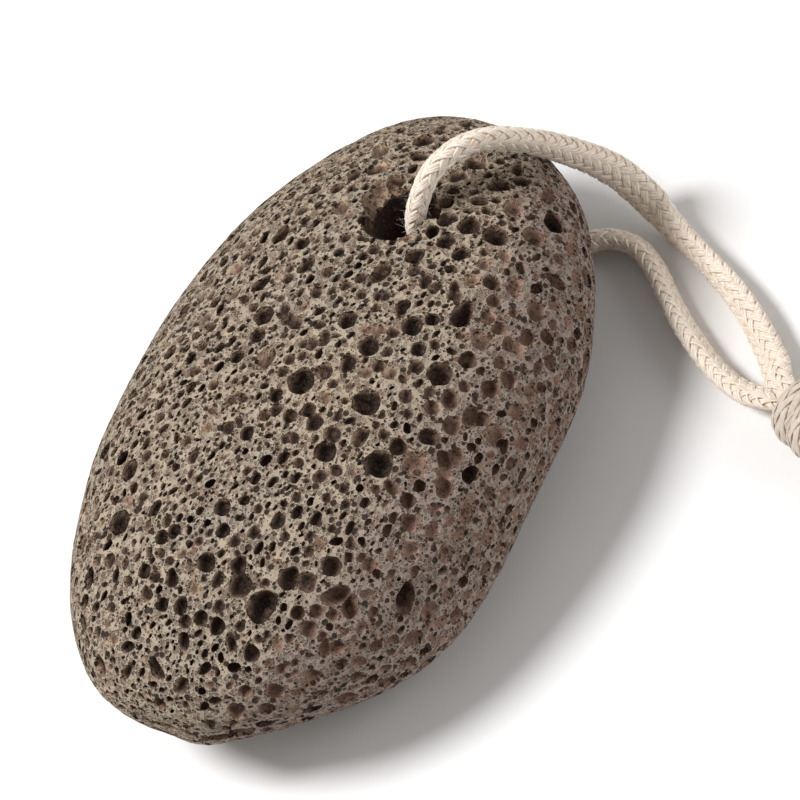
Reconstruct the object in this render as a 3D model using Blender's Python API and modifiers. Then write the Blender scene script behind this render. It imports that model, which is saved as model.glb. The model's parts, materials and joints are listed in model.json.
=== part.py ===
"""Pumice foot stone: a rounded slab of brown vesicular lava, drilled near one end, on a knotted cord loop.

The stone lies flat on its back with its long axis along X and the drilled end at +X. The cord runs
through the hole, down over that end and out from under it, along the ground to its knot.
Lengths are written in millimetres and turned to metres where the meshes are made.
"""

import math
import random

import bmesh
import bpy
from mathutils import Matrix, Vector, noise
from mathutils.bvhtree import BVHTree

MM = 0.001

# The stone's body: a superellipsoid with a flat worn underneath.
STONE_LENGTH = 100.0
STONE_WIDTH = 66.0
STONE_HEIGHT = 35.0
SEAT_WEAR = 1.2
PLAN_POWER = 2.1
CROWN_POWER = 2.4
BELLY_POWER = 2.3
BLUNT_END = 0.03
PLAN_BEND = 0.9
BODY_SHIFT = Vector((0.22, 0.15, 0.0))
LUMP_HEIGHT = 0.45
LUMP_SPACING = 17.0

# Broad swells and worn hollows: the way each one faces, its height and how wide it spreads.
SWELLS = [
    ((-0.93, 0.28, 0.10), 1.1, 0.35),
    ((0.93, 0.25, 0.30), 0.2, 0.30),
    ((-0.20, -0.95, -0.15), -0.9, 0.40),
    ((-0.80, -0.55, -0.20), -1.2, 0.22),
    ((-0.45, -0.80, -0.39), 2.1, 0.30),
    ((-0.42, 0.86, 0.28), -0.9, 0.33),
    ((-0.97, -0.16, -0.20), 0.8, 0.12),
]
BODY_SUBDIVISIONS = 4

# The drilled hole, with its worn mouths and the chip beside the upper one.
HOLE_X = 26.9
HOLE_Y = -2.2
HOLE_ACROSS = 8.2
HOLE_SIDES = 16
LOWER_MOUTH_ACROSS = 19.0
LOWER_MOUTH_DEPTH = 11.0
LOWER_FLARE = [(0.8, 0.72), (2.3, 0.46)]
LOWER_LIP = 0.22
UPPER_MOUTH_ACROSS = 9.4
UPPER_MOUTH_DEPTH = 4.0
UPPER_FLARE = 0.3
CUTTER_MARGIN = 2.5
CHIP = (28.6, 2.0, 5.6, 4.8, 0)
CHIP_DEPTH = 0.42

# Grooves that the cord has worn in the two mouths: the middle of each, its half sizes and its turn.
CORD_WEAR = [
    ((34.0, -5.9, 2.8), (8.0, 3.8, 4.0), -24.0),
    ((29.2, -5.4, 33.2), (2.8, 2.8, 4.2), 0.0),
]

# Pits are the bubbles that the surface cuts open. A round one is (a, b, across) and a long one
# (a, b, long, wide, turn in degrees). Only those as long as this are cut in the solid. The half that
# faces +Y has fewer large bubbles, so smaller ones are cut there too.
SMALLEST_PIT = 2.9
SMALLEST_FAR_PIT = 1.6
FAR_HALF = 4.0
PIT_DEPTHS = {"deep": 0.62, "open": 0.48, "shallow": 0.3}
ROUND_PIT_SUBDIVISIONS = 1
LARGE_PIT_SUBDIVISIONS = 2
LARGE_PIT = 4.0
FACET_ALLOWANCE = 1.06

# Pits in the crown, placed by x and y.
CROWN_PITS = {
    "deep": [
        (-29.0, 13.2, 3.9), (-29.3, 4.6, 2.3), (-28.0, 3.0, 2.4), (-22.8, -2.8, 2.7),
        (-25.8, -4.4, 2.4), (-30.5, -4.1, 3.0), (-29.3, -8.9, 2.6), (-33.0, -14.2, 5.0, 4.0, -20),
        (-34.0, 0.3, 2.9, 2.1, 30), (-34.3, 5.2, 2.3), (-37.6, 0.4, 2.2), (-36.9, -2.6, 2.8, 2.2, 0),
        (-38.6, -4.0, 2.2), (-37.5, -6.2, 2.4), (-37.6, -8.9, 2.6), (-38.9, -14.6, 2.5),
        (-42.5, 14.3, 2.9, 1.5, 30), (-44.0, 4.2, 2.7, 1.7, -70), (-45.2, -1.2, 3.8, 1.9, 45),
        (-28.3, -16.3, 3.5, 3.0, -20), (-24.6, -20.9, 2.9), (-31.9, -19.0, 2.2),
        (-10.6, -13.4, 3.3), (-6.0, -22.0, 2.6), (-9.3, -20.9, 4.1), (-2.0, -15.3, 4.1),
        (-2.3, -4.5, 4.3), (-2.9, -24.8, 3.4, 2.4, -74), (-5.5, -2.0, 2.3), (-6.0, -8.0, 2.4),
        (-7.7, -5.8, 2.4), (8.4, -5.8, 3.2, 2.8, 10), (5.5, 7.5, 3.3), (2.5, 6.5, 2.6),
        (4.5, 23.3, 2.3), (-1.5, 7.8, 2.4), (-12.0, -0.8, 2.4), (18.6, 13.4, 3.6, 2.7, 0),
        (17.8, 8.5, 2.4), (28.3, 9.5, 2.4), (27.5, 13.5, 2.4), (31.6, 1.2, 3.1),
        (37.4, 1.2, 3.1, 2.2, -70), (40.5, 3.0, 3.2), (36.8, -12.4, 3.6, 2.8, -74),
        (31.0, -8.0, 2.6), (28.8, -7.2, 2.8), (33.0, -12.0, 2.8, 1.8, -74), (28.3, -9.9, 3.2, 2.6, -50),
        (28.5, -13.2, 3.4), (28.8, -17.3, 3.7), (21.0, -9.2, 3.1, 2.5, -40), (23.8, -15.0, 3.0, 2.3, -40),
        (15.3, -20.2, 4.6, 3.0, -5), (21.6, -21.0, 2.5), (13.2, -12.2, 2.7, 2.0, -40),
        (12.8, -17.0, 2.3), (10.9, -15.0, 3.2), (8.0, -17.6, 2.4), (5.8, -21.9, 3.7),
        (5.8, -11.0, 3.2), (9.4, -24.0, 2.7), (25.8, -22.5, 2.3, 1.6, 30), (-12.0, -26.0, 2.4),
    ],
    "open": [
        (-31.6, -10.2, 3.8), (-32.1, -6.7, 2.7, 2.0, 0), (-38.8, -11.5, 3.2, 1.7, 30),
        (-27.0, 4.9, 2.5, 1.6, 10), (-27.8, -18.8, 3.0), (-30.6, -21.2, 2.2),
        (-27.6, -22.8, 4.3, 2.8, -45), (-33.2, -24.0, 2.4), (-8.0, -13.0, 2.7),
        (-6.8, -16.9, 3.6, 2.2, -10), (-7.3, -9.8, 2.7), (-11.5, -23.6, 3.0, 1.7, 70),
        (0.9, -19.6, 2.2), (1.0, -23.3, 2.4), (3.2, -24.7, 3.2, 2.5, 30), (0.0, -26.6, 3.0),
        (2.6, -28.0, 3.1), (-14.5, -27.2, 2.6), (5.8, 1.8, 2.4), (6.0, 3.2, 2.3),
        (-12.0, 2.7, 2.3), (-5.2, 13.6, 2.7, 1.8, -70), (17.0, -6.2, 4.0, 2.9, -15),
        (23.3, 12.8, 2.3), (31.6, 8.7, 2.5), (33.0, 6.3, 2.4), (43.4, 2.4, 2.4),
        (36.0, -6.4, 3.4, 2.4, -20), (39.2, -7.2, 3.3), (25.6, -11.8, 2.3), (31.6, -21.0, 3.5),
        (19.2, -22.6, 2.3), (0.1, -7.0, 2.8), (2.5, -9.6, 3.2, 2.4, 20), (3.4, -2.8, 2.3),
        (5.5, -18.7, 2.4), (18.2, -12.9, 2.4, 1.8, -40), (18.6, -17.2, 2.3, 1.6, 20),
        (3.5, -14.0, 2.2), (14.5, -27.0, 2.4), (11.4, -27.4, 2.2), (-43.5, -16.5, 2.6),
        (14.6, 17.4, 2.2), (26.0, 17.5, 2.2), (16.5, 20.2, 2.1), (18.7, 18.7, 2.0), (21.8, 16.8, 1.8),
        (2.0, 15.5, 2.0), (0.3, 17.2, 1.7), (-0.6, 19.8, 1.6), (-1.2, 14.8, 1.8), (7.3, 12.5, 1.9),
        (6.4, 10.0, 1.7), (-6.5, 9.0, 1.8), (-18.9, 14.0, 1.9), (-22.0, 20.0, 1.9), (-18.0, 10.8, 1.6),
        (-28.5, 18.6, 1.7), (-26.4, 20.4, 1.7), (-31.5, 17.2, 1.8), (-36.2, 7.4, 1.8), (12.0, 7.0, 2.0),
        (11.0, 1.3, 2.1), (14.5, 1.5, 2.0), (31.0, 15.5, 2.2), (36.5, 13.5, 2.0), (9.6, 22.0, 2.2),
        (-8.6, 18.0, 1.8), (-13.0, 15.2, 1.7), (-14.5, 21.5, 2.0), (22.0, 22.2, 2.2), (-4.0, 24.2, 2.0),
        (20.6, 2.3, 2.0), (-40.0, 9.0, 1.7), (-43.3, 10.5, 1.8), (-24.8, 11.0, 1.7), (-8.0, 4.6, 2.0),
    ],
    "shallow": [
        (-0.8, 3.0, 4.2, 3.2, 0), (-7.0, -24.9, 4.1), (12.3, 17.6, 2.9), (25.2, 6.6, 3.0),
        (37.0, 8.0, 4.0, 3.0, 30), (8.5, -10.9, 2.7), (2.0, -12.7, 2.4), (12.6, -21.8, 2.3),
        (13.2, -24.2, 3.6), (22.6, -23.6, 3.9, 3.1, 30), (34.3, -16.3, 3.0), (16.6, -23.2, 2.6),
        (-12.6, 6.0, 2.4), (-28.4, 8.0, 2.2), (-31.9, -1.5, 2.2), (-34.3, -3.6, 2.3),
        (-22.6, -18.2, 2.4), (20.6, -18.6, 2.6), (24.0, -18.6, 2.6), (-6.5, -28.3, 2.7),
        (-43.6, 7.2, 2.2), (23.6, -6.2, 2.2),
    ],
}

# Pits in the flank that faces -Y, placed by x and z.
FLANK_PITS = {
    "deep": [
        (27.0, 23.5, 3.6, 2.0, 90), (18.6, 23.0, 3.0, 1.9, 90), (7.4, 27.2, 2.6),
        (-4.6, 27.6, 3.0, 2.2, 60), (-23.0, 21.6, 4.8, 2.8, 25), (-28.0, 25.4, 3.4, 2.4, 20),
    ],
    "open": [
        (-34.0, 23.5, 3.0, 2.0, 20), (-41.5, 21.5, 2.8), (-7.6, 26.6, 2.5), (-22.0, 27.0, 2.2),
        (20.5, 18.5, 2.6), (4.0, 14.0, 2.7), (-20.0, 12.5, 2.5), (33.5, 14.0, 2.4), (12.0, 9.5, 2.9),
    ],
    "shallow": [
        (2.2, 24.6, 3.6), (6.8, 23.6, 2.9), (10.5, 22.6, 2.9), (-8.6, 22.6, 4.1, 3.3, 20),
        (-3.2, 18.6, 2.5), (-15.0, 21.3, 2.7), (-17.6, 25.0, 3.0), (21.5, 25.5, 2.9),
        (15.0, 26.0, 2.6), (-33.0, 19.0, 2.5),
    ],
}

# Pits in the blunt end that faces -X, placed by y and z.
END_PITS = {
    "deep": [(-8.0, 14.5, 6.0, 1.8, 5)],
    "open": [(-13.0, 20.0, 2.5), (6.0, 16.0, 2.7), (-2.0, 21.5, 2.3)],
    "shallow": [(11.0, 19.0, 2.6)],
}

# The sides turned away have pits of the same sizes, scattered at random.
HIDDEN_PITS = 34
HIDDEN_SEED = 7
HIDDEN_SMALLEST = 2.5
HIDDEN_LARGEST = 4.2
HIDDEN_DEPTH = 0.45
NARROWEST_PIT = 0.7
LOOKS_FAR_SIDE = 0.25
LOOKS_DOWN = -0.2
LOOKS_TO_HOLE = 0.75
END_ON = 0.7
SEAT_TOP = 3.0
SEAT_CLEAR = 12.0
PIT_SPACING = 1.15
MOUTH_CLEAR = 7.5

# The cord: a flat cotton braid, put through the hole and tied in one overhand knot.
CORD_ACROSS = 3.8
CORD_STEP = 4.4
CORD_ROUTE = [
    (29.5, -54.5, 4.7), (32.6, -51.2, 3.1), (35.8, -47.6, 2.4), (39.2, -43.4, 2.4),
    (42.4, -38.6, 2.4), (45.1, -33.6, 2.4), (47.6, -28.6, 2.5), (49.9, -24.0, 2.8),
    (51.6, -20.4, 4.2), (52.3, -17.9, 7.2), (51.9, -16.1, 11.2), (50.4, -15.0, 15.9),
    (48.2, -14.2, 20.9), (45.8, -13.2, 25.9), (43.0, -11.9, 30.6), (40.0, -10.4, 34.0),
    (36.4, -8.7, 35.8), (32.7, -6.9, 35.4), (29.9, -5.5, 33.1), (27.7, -3.7, 28.8),
    (27.0, -2.8, 22.0), (27.0, -2.6, 14.8), (28.2, -3.4, 8.4), (31.2, -4.7, 4.1), (35.2, -6.7, 2.5),
    (39.4, -8.6, 2.2), (43.2, -11.4, 2.4), (45.4, -15.6, 2.5), (45.1, -20.4, 2.5),
    (42.8, -24.6, 2.5), (39.6, -28.4, 2.5), (36.4, -32.4, 2.5), (33.3, -36.8, 2.5),
    (30.6, -41.2, 2.5), (28.6, -45.8, 2.5), (27.6, -50.0, 3.0), (27.1, -53.7, 4.4),
]
ROUTE_PIECES = 20

# The knot is the two strands wound about themselves, with two short tails beyond it.
KNOT_CENTRE = (25.7, -61.2, 5.1)
KNOT_HEADING = -113.0
KNOT_CORE = (6.6, 4.6, 4.2)
KNOT_TURNS = [(-4.1, 12.0), (-0.4, -16.0), (3.6, 14.0)]
TURN_ACROSS = 6.3
TURN_THICK = 3.5
TURN_WIDENED = 1.2
TAIL_THICK = 3.6
TAIL_LONG = 12.5
TAIL_SPREAD = 11.0
TAIL_DROP = 2.9

STONE_COLOUR = (0.16, 0.125, 0.10, 1.0)
CORD_COLOUR = (0.78, 0.70, 0.58, 1.0)


def clear_scene():
    for thing in list(bpy.data.objects):
        bpy.data.objects.remove(thing, do_unlink=True)


def make_collection(name):
    found = bpy.data.collections.new(name)
    bpy.context.scene.collection.children.link(found)
    return found


def make_material(name, colour, roughness):
    material = bpy.data.materials.new(name)
    material.use_nodes = True
    shader = material.node_tree.nodes["Principled BSDF"]
    shader.inputs["Base Color"].default_value = colour
    shader.inputs["Roughness"].default_value = roughness
    shader.inputs["Metallic"].default_value = 0.0
    return material


def make_object(name, mesh, collection, material=None):
    made = bpy.data.objects.new(name, mesh)
    collection.objects.link(made)
    if material is not None:
        mesh.materials.append(material)
    return made


def body_point(direction):
    """The stone's surface, in millimetres, where a direction from its middle meets it."""
    x, y, z = direction
    plan = (abs(x) ** PLAN_POWER + abs(y) ** PLAN_POWER) ** (1 / PLAN_POWER)
    power = CROWN_POWER if z > 0 else BELLY_POWER
    reach = (plan**power + abs(z) ** power) ** (-1 / power)
    x, y, z = x * reach, y * reach, z * reach
    bend = PLAN_BEND * (x * x - 0.5)
    point = Vector((
        x * STONE_LENGTH / 2,
        y * (1 - BLUNT_END * x) * STONE_WIDTH / 2 + bend,
        z * STONE_HEIGHT / 2 + STONE_HEIGHT / 2 - SEAT_WEAR,
    ))
    facing = Vector(direction).normalized()
    lump = LUMP_HEIGHT * noise.noise(point / LUMP_SPACING)
    for side, height, spread in SWELLS:
        away = (facing - Vector(side).normalized()).length
        lump += height * math.exp(-((away / spread) ** 2))
    point += facing * lump
    point.z = max(point.z, 0.0)
    return point + BODY_SHIFT


def make_body():
    """The stone before it is pitted, as a mesh in millimetres."""
    shape = bmesh.new()
    bmesh.ops.create_icosphere(shape, subdivisions=BODY_SUBDIVISIONS, radius=1.0)
    for vertex in shape.verts:
        vertex.co = body_point(vertex.co)
    bmesh.ops.recalc_face_normals(shape, faces=shape.faces)
    return shape


def surface_hit(tree, start, towards):
    point, normal, _, _ = tree.ray_cast(Vector(start), Vector(towards).normalized())
    return point, normal


def pit_frame(point, normal, along, turn):
    """Axes of a pit: its length lies in the surface, turned from the given direction."""
    normal = normal.normalized()
    length = (along - normal * along.dot(normal)).normalized()
    length = Matrix.Rotation(math.radians(turn), 3, normal) @ length
    breadth = normal.cross(length)
    turned = Matrix((length, breadth, normal)).transposed()
    return Matrix.Translation(point) @ turned.to_4x4()


def pit_from_row(tree, start, towards, along, row, depth):
    long, wide, turn = (row[2], row[2], 0) if len(row) == 3 else row[2:]
    point, normal = surface_hit(tree, start, towards)
    return {"frame": pit_frame(point, normal, along, turn), "long": long, "wide": wide, "depth": depth}


def named_pits(tree):
    """The pits that are placed by hand, on the crown, the flank and the blunt end."""
    found = []
    for kind, depth in PIT_DEPTHS.items():
        for row in CROWN_PITS[kind]:
            start = (row[0], row[1], 2 * STONE_HEIGHT)
            found.append(pit_from_row(tree, start, (0, 0, -1), Vector((1, 0, 0)), row, depth))
        for row in FLANK_PITS[kind]:
            start = (row[0], -STONE_WIDTH, row[1])
            found.append(pit_from_row(tree, start, (0, 1, 0), Vector((1, 0, 0)), row, depth))
        for row in END_PITS[kind]:
            start = (-STONE_LENGTH, row[0], row[1])
            found.append(pit_from_row(tree, start, (1, 0, 0), Vector((0, 1, 0)), row, depth))
    return found


def near_mouth(point):
    return math.hypot(point.x - HOLE_X, point.y - HOLE_Y) < MOUTH_CLEAR


def crowded(pit, others):
    place = pit["frame"].translation
    for other in others:
        room = (pit["long"] + other["long"]) / 2 * PIT_SPACING
        if (other["frame"].translation - place).length < room:
            return True
    return False


def hidden_pits(tree, placed):
    """Pits on the back, the far side and the drilled end, clear of the seat and of each other."""
    chance = random.Random(HIDDEN_SEED)
    middle = Vector((0, 0, STONE_HEIGHT / 2))
    found = []
    while len(found) < HIDDEN_PITS:
        direction = Vector((chance.gauss(0, 1), chance.gauss(0, 1), chance.gauss(0, 1))).normalized()
        size = chance.uniform(HIDDEN_SMALLEST, HIDDEN_LARGEST)
        wide = size * chance.uniform(NARROWEST_PIT, 1.0)
        turn = chance.uniform(0, 180)
        point, normal = surface_hit(tree, middle + direction * STONE_LENGTH, -direction)
        faces_away = normal.y > LOOKS_FAR_SIDE or normal.z < LOOKS_DOWN or normal.x > LOOKS_TO_HOLE
        on_seat = point.z < SEAT_TOP and abs(point.x) < 2 * SEAT_CLEAR and abs(point.y) < SEAT_CLEAR
        if not faces_away or on_seat or near_mouth(point):
            continue
        along = Vector((0, 1, 0)) if abs(normal.x) > END_ON else Vector((1, 0, 0))
        frame = pit_frame(point, normal, along, turn)
        pit = {"frame": frame, "long": size, "wide": wide, "depth": HIDDEN_DEPTH}
        if not crowded(pit, placed + found):
            found.append(pit)
    return found


def add_pit(shape, pit):
    """One bubble, an ellipsoid whose middle lies near the surface."""
    large = pit["long"] >= LARGE_PIT
    detail = LARGE_PIT_SUBDIVISIONS if large else ROUND_PIT_SUBDIVISIONS
    half = (pit["long"] + pit["wide"]) / 4
    sink = (pit["depth"] - 0.5) * 2 * half
    place = pit["frame"] @ Matrix.Translation((0, 0, -sink))
    size = Matrix.Diagonal((pit["long"] / 2, pit["wide"] / 2, half, 1))
    bmesh.ops.create_icosphere(shape, subdivisions=detail, radius=FACET_ALLOWANCE, matrix=place @ size)


def batches(pits):
    """Groups of pits that don't touch, so that each group is one clean cutter."""
    groups = []
    for pit in sorted(pits, key=lambda one: -one["long"]):
        for group in groups:
            if not crowded(pit, group):
                group.append(pit)
                break
        else:
            groups.append([pit])
    return groups


def is_cut(pit):
    far = pit["frame"].translation.y > FAR_HALF
    return pit["long"] >= (SMALLEST_FAR_PIT if far else SMALLEST_PIT)


def pit_cutters(tree, collection):
    placed = [pit for pit in named_pits(tree) if is_cut(pit)]
    placed += hidden_pits(tree, placed)
    cutters = []
    for number, group in enumerate(batches(placed)):
        shape = bmesh.new()
        for pit in group:
            add_pit(shape, pit)
        cutters.append(finish_mesh(shape, f"pits_{number}", collection))
    return cutters


def hole_profile(top):
    """The hole from top to bottom as (radius, height): a bore that flares at both worn mouths."""
    bore = HOLE_ACROSS / 2
    upper = UPPER_MOUTH_ACROSS / 2
    lower = LOWER_MOUTH_ACROSS / 2
    profile = [
        (0.0, top + UPPER_MOUTH_DEPTH),
        (2 * upper - bore, top + UPPER_MOUTH_DEPTH),
        (upper, top),
        (bore + UPPER_FLARE, top - UPPER_MOUTH_DEPTH / 2),
        (bore, top - UPPER_MOUTH_DEPTH),
        (bore, LOWER_MOUTH_DEPTH),
    ]
    profile += [(bore + wider, LOWER_MOUTH_DEPTH * share) for wider, share in LOWER_FLARE]
    profile += [
        (lower, LOWER_MOUTH_DEPTH * LOWER_LIP),
        (lower + CUTTER_MARGIN, -1.0),
        (0.0, -1.0),
    ]
    return profile


def make_bore(top, collection):
    """The hole's cutter, its profile turned about the hole's axis."""
    shape = bmesh.new()
    corners = [shape.verts.new((radius * MM, 0.0, height * MM)) for radius, height in hole_profile(top)]
    for one, two in zip(corners, corners[1:]):
        shape.edges.new((one, two))
    mesh = bpy.data.meshes.new("bore")
    shape.to_mesh(mesh)
    shape.free()
    bore = make_object("bore", mesh, collection)
    bore.location = (HOLE_X * MM, HOLE_Y * MM, 0.0)
    turned = bore.modifiers.new("turned", "SCREW")
    turned.steps = HOLE_SIDES
    turned.render_steps = HOLE_SIDES
    turned.use_merge_vertices = True
    turned.merge_threshold = 0.00001
    return bore


def hole_cutters(tree, collection):
    """The bore with its worn mouths, the chip in the crown beside it and the grooves worn by the cord."""
    top, _ = surface_hit(tree, (HOLE_X, HOLE_Y, 2 * STONE_HEIGHT), (0, 0, -1))
    chip = bmesh.new()
    start = (CHIP[0], CHIP[1], 2 * STONE_HEIGHT)
    add_pit(chip, pit_from_row(tree, start, (0, 0, -1), Vector((1, 0, 0)), CHIP, CHIP_DEPTH))
    cutters = [make_bore(top.z, collection), finish_mesh(chip, "chip", collection)]
    for number, (middle, half, degrees) in enumerate(CORD_WEAR):
        wear = bmesh.new()
        turn = Matrix.Rotation(math.radians(degrees), 4, "Z")
        place = Matrix.Translation(middle) @ turn @ Matrix.Diagonal((*half, 1))
        bmesh.ops.create_icosphere(wear, subdivisions=LARGE_PIT_SUBDIVISIONS, radius=1.0, matrix=place)
        cutters.append(finish_mesh(wear, f"cord_wear_{number}", collection))
    return cutters


def finish_mesh(shape, name, collection, material=None):
    """Turns millimetres to metres and makes the object."""
    bmesh.ops.scale(shape, vec=(MM, MM, MM), verts=shape.verts)
    bmesh.ops.recalc_face_normals(shape, faces=shape.faces)
    mesh = bpy.data.meshes.new(name)
    shape.to_mesh(mesh)
    shape.free()
    return make_object(name, mesh, collection, material)


def make_stone(collection, cutting, material):
    body = make_body()
    tree = BVHTree.FromBMesh(body)
    stone = finish_mesh(body, "pumice_stone", collection, material)
    for cutter in hole_cutters(tree, cutting) + pit_cutters(tree, cutting):
        cutter.hide_render = True
        cutter.display_type = "WIRE"
        cut = stone.modifiers.new(cutter.name, "BOOLEAN")
        cut.operation = "DIFFERENCE"
        cut.object = cutter
    return stone


def smooth_route(points, step):
    """Even points along a Catmull-Rom curve through the route's own points."""
    route = [Vector(point) for point in points]
    ends = [2 * route[0] - route[1]] + route + [2 * route[-1] - route[-2]]
    fine = []
    for before, start, end, after in zip(ends, ends[1:], ends[2:], ends[3:]):
        for count in range(ROUTE_PIECES):
            t = count / ROUTE_PIECES
            fine.append(
                0.5
                * (
                    2 * start
                    + (end - before) * t
                    + (2 * before - 5 * start + 4 * end - after) * t * t
                    + (3 * start - before - 3 * end + after) * t**3
                )
            )
    fine.append(route[-1])
    lengths = [0.0]
    for one, two in zip(fine, fine[1:]):
        lengths.append(lengths[-1] + (two - one).length)
    count = round(lengths[-1] / step)
    even = []
    index = 0
    for number in range(count + 1):
        target = lengths[-1] * number / count
        while index < len(fine) - 2 and lengths[index + 1] < target:
            index += 1
        share = (target - lengths[index]) / (lengths[index + 1] - lengths[index])
        even.append(fine[index].lerp(fine[index + 1], share))
    return even


def make_cord(collection, material):
    points = smooth_route(CORD_ROUTE, CORD_STEP)
    curve = bpy.data.curves.new("cord", "CURVE")
    curve.dimensions = "3D"
    curve.bevel_depth = CORD_ACROSS / 2 * MM
    curve.bevel_resolution = 2
    curve.use_fill_caps = True
    spline = curve.splines.new("POLY")
    spline.points.add(len(points) - 1)
    for spot, point in zip(spline.points, points):
        spot.co = (*(point * MM), 1.0)
    cord = make_object("cord", curve, collection, material)
    weld = cord.modifiers.new("closed_caps", "WELD")
    weld.merge_threshold = 0.00002
    return cord


def knot_frame():
    turn = Matrix.Rotation(math.radians(KNOT_HEADING), 4, "Z")
    return Matrix.Translation(KNOT_CENTRE) @ turn


def knot_core(name, collection, material=None):
    core = bmesh.new()
    place = knot_frame() @ Matrix.Diagonal((*KNOT_CORE, 1))
    bmesh.ops.create_icosphere(core, subdivisions=LARGE_PIT_SUBDIVISIONS, radius=1.0, matrix=place)
    return finish_mesh(core, name, collection, material)


def knot_turn(number, along, tilt, collection):
    """One wind of the cord about the knot, a ring across the knot's own length."""
    bpy.ops.mesh.primitive_torus_add(
        major_segments=12,
        minor_segments=6,
        major_radius=TURN_ACROSS / 2,
        minor_radius=TURN_THICK / 2,
    )
    ring = bpy.context.object
    for found in list(ring.users_collection):
        found.objects.unlink(ring)
    collection.objects.link(ring)
    ring.name = f"turn_{number}"
    upright = Matrix.Rotation(math.radians(90.0 + tilt), 4, "Y")
    wider = Matrix.Diagonal((1, TURN_WIDENED, 1, 1))
    ring.data.transform(knot_frame() @ Matrix.Translation((along, 0, 0)) @ wider @ upright)
    ring.data.transform(Matrix.Scale(MM, 4))
    return ring


def knot_tail(number, spread, collection):
    """One cut end of the cord, from inside the knot down to the ground."""
    tail = bmesh.new()
    length = KNOT_CORE[0] + TAIL_LONG
    drop = math.asin(TAIL_DROP / length)
    aim = Matrix.Rotation(math.radians(spread), 4, "Z") @ Matrix.Rotation(math.pi / 2 + drop, 4, "Y")
    place = knot_frame() @ aim @ Matrix.Translation((0, 0, length / 2))
    bmesh.ops.create_cone(
        tail,
        cap_ends=True,
        segments=8,
        radius1=TAIL_THICK / 2,
        radius2=TAIL_THICK / 2,
        depth=length,
        matrix=place,
    )
    return finish_mesh(tail, f"tail_{number}", collection)


def make_knot(collection, cutting, material):
    knot = knot_core("cord_knot", collection, material)
    pieces = [knot_turn(number, *turn, cutting) for number, turn in enumerate(KNOT_TURNS)]
    for number, spread in enumerate((-TAIL_SPREAD, TAIL_SPREAD)):
        pieces.append(knot_tail(number, spread, cutting))
    for piece in pieces:
        piece.hide_render = True
        piece.display_type = "WIRE"
        joined = knot.modifiers.new(piece.name, "BOOLEAN")
        joined.operation = "UNION"
        joined.object = piece
    return knot


def main():
    clear_scene()
    parts = make_collection("pumice_stone_on_a_cord")
    cutting = make_collection("cutters")
    stone_material = make_material("brown_lava", STONE_COLOUR, 0.95)
    cord_material = make_material("cotton", CORD_COLOUR, 0.9)
    make_stone(parts, cutting, stone_material)
    make_cord(parts, cord_material)
    make_knot(parts, cutting, cord_material)


main()
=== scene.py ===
import json
import math
import random

import bpy
import numpy as np
from mathutils import Matrix, Vector, noise
from mathutils.bvhtree import BVHTree
from mathutils.kdtree import KDTree

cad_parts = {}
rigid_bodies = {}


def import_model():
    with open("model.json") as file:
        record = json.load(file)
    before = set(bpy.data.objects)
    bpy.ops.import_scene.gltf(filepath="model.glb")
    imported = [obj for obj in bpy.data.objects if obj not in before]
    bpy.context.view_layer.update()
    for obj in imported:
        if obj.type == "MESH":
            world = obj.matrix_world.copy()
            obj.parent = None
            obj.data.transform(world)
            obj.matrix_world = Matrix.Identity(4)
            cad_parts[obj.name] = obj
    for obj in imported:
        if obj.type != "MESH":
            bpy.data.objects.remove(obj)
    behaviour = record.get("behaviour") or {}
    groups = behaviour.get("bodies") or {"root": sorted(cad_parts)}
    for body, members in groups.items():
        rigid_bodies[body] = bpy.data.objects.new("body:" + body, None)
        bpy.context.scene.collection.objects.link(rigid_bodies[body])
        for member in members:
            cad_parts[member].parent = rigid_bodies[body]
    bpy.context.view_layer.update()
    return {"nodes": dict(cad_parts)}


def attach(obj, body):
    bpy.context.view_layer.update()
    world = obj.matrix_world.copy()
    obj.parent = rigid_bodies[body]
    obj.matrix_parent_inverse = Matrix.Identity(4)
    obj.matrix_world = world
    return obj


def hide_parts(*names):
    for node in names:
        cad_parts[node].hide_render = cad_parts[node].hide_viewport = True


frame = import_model()
mm = 0.001
print("frame loaded:", ", ".join(sorted(frame["nodes"])))


# small helpers that everything below uses

def deselectAll():
    if bpy.context.object and bpy.context.object.mode != "OBJECT":
        bpy.ops.object.mode_set(mode="OBJECT")
    bpy.ops.object.select_all(action="DESELECT")


def makeActive(piece):
    deselectAll()
    piece.select_set(True)
    bpy.context.view_layer.objects.active = piece


def newMesh(name, points, faces):
    mesh = bpy.data.meshes.new(name)
    mesh.from_pydata(np.asarray(points).tolist(), [], faces)
    mesh.update()
    piece = bpy.data.objects.new(name, mesh)
    bpy.context.scene.collection.objects.link(piece)
    return piece


def meshPoints(mesh):
    points = np.zeros(len(mesh.vertices) * 3, np.float32)
    mesh.vertices.foreach_get("co", points)
    return points.reshape(-1, 3).astype(float)


def setPoints(mesh, points):
    mesh.vertices.foreach_set("co", np.asarray(points, np.float32).ravel())
    mesh.update()


def pointAttribute(mesh, name, values):
    layer = mesh.attributes.new(name, "FLOAT", "POINT")
    layer.data.foreach_set("value", np.asarray(values, np.float32))


def triangleCount(piece):
    piece.data.calc_loop_triangles()
    return len(piece.data.loop_triangles)


# the camera comes first: where it stands, what it looks at and which way is up in its picture

cameraSetup = {
    "aim": (0.00704, -0.00616, 0.01449),
    "standsTowards": (-0.30686, -0.57358, 0.75950),
    "pictureUp": (0.82424, 0.23885, 0.51339),
    "away": 0.600,
    "lens": 192.2,
    "sensor": 36.0,
}


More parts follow.
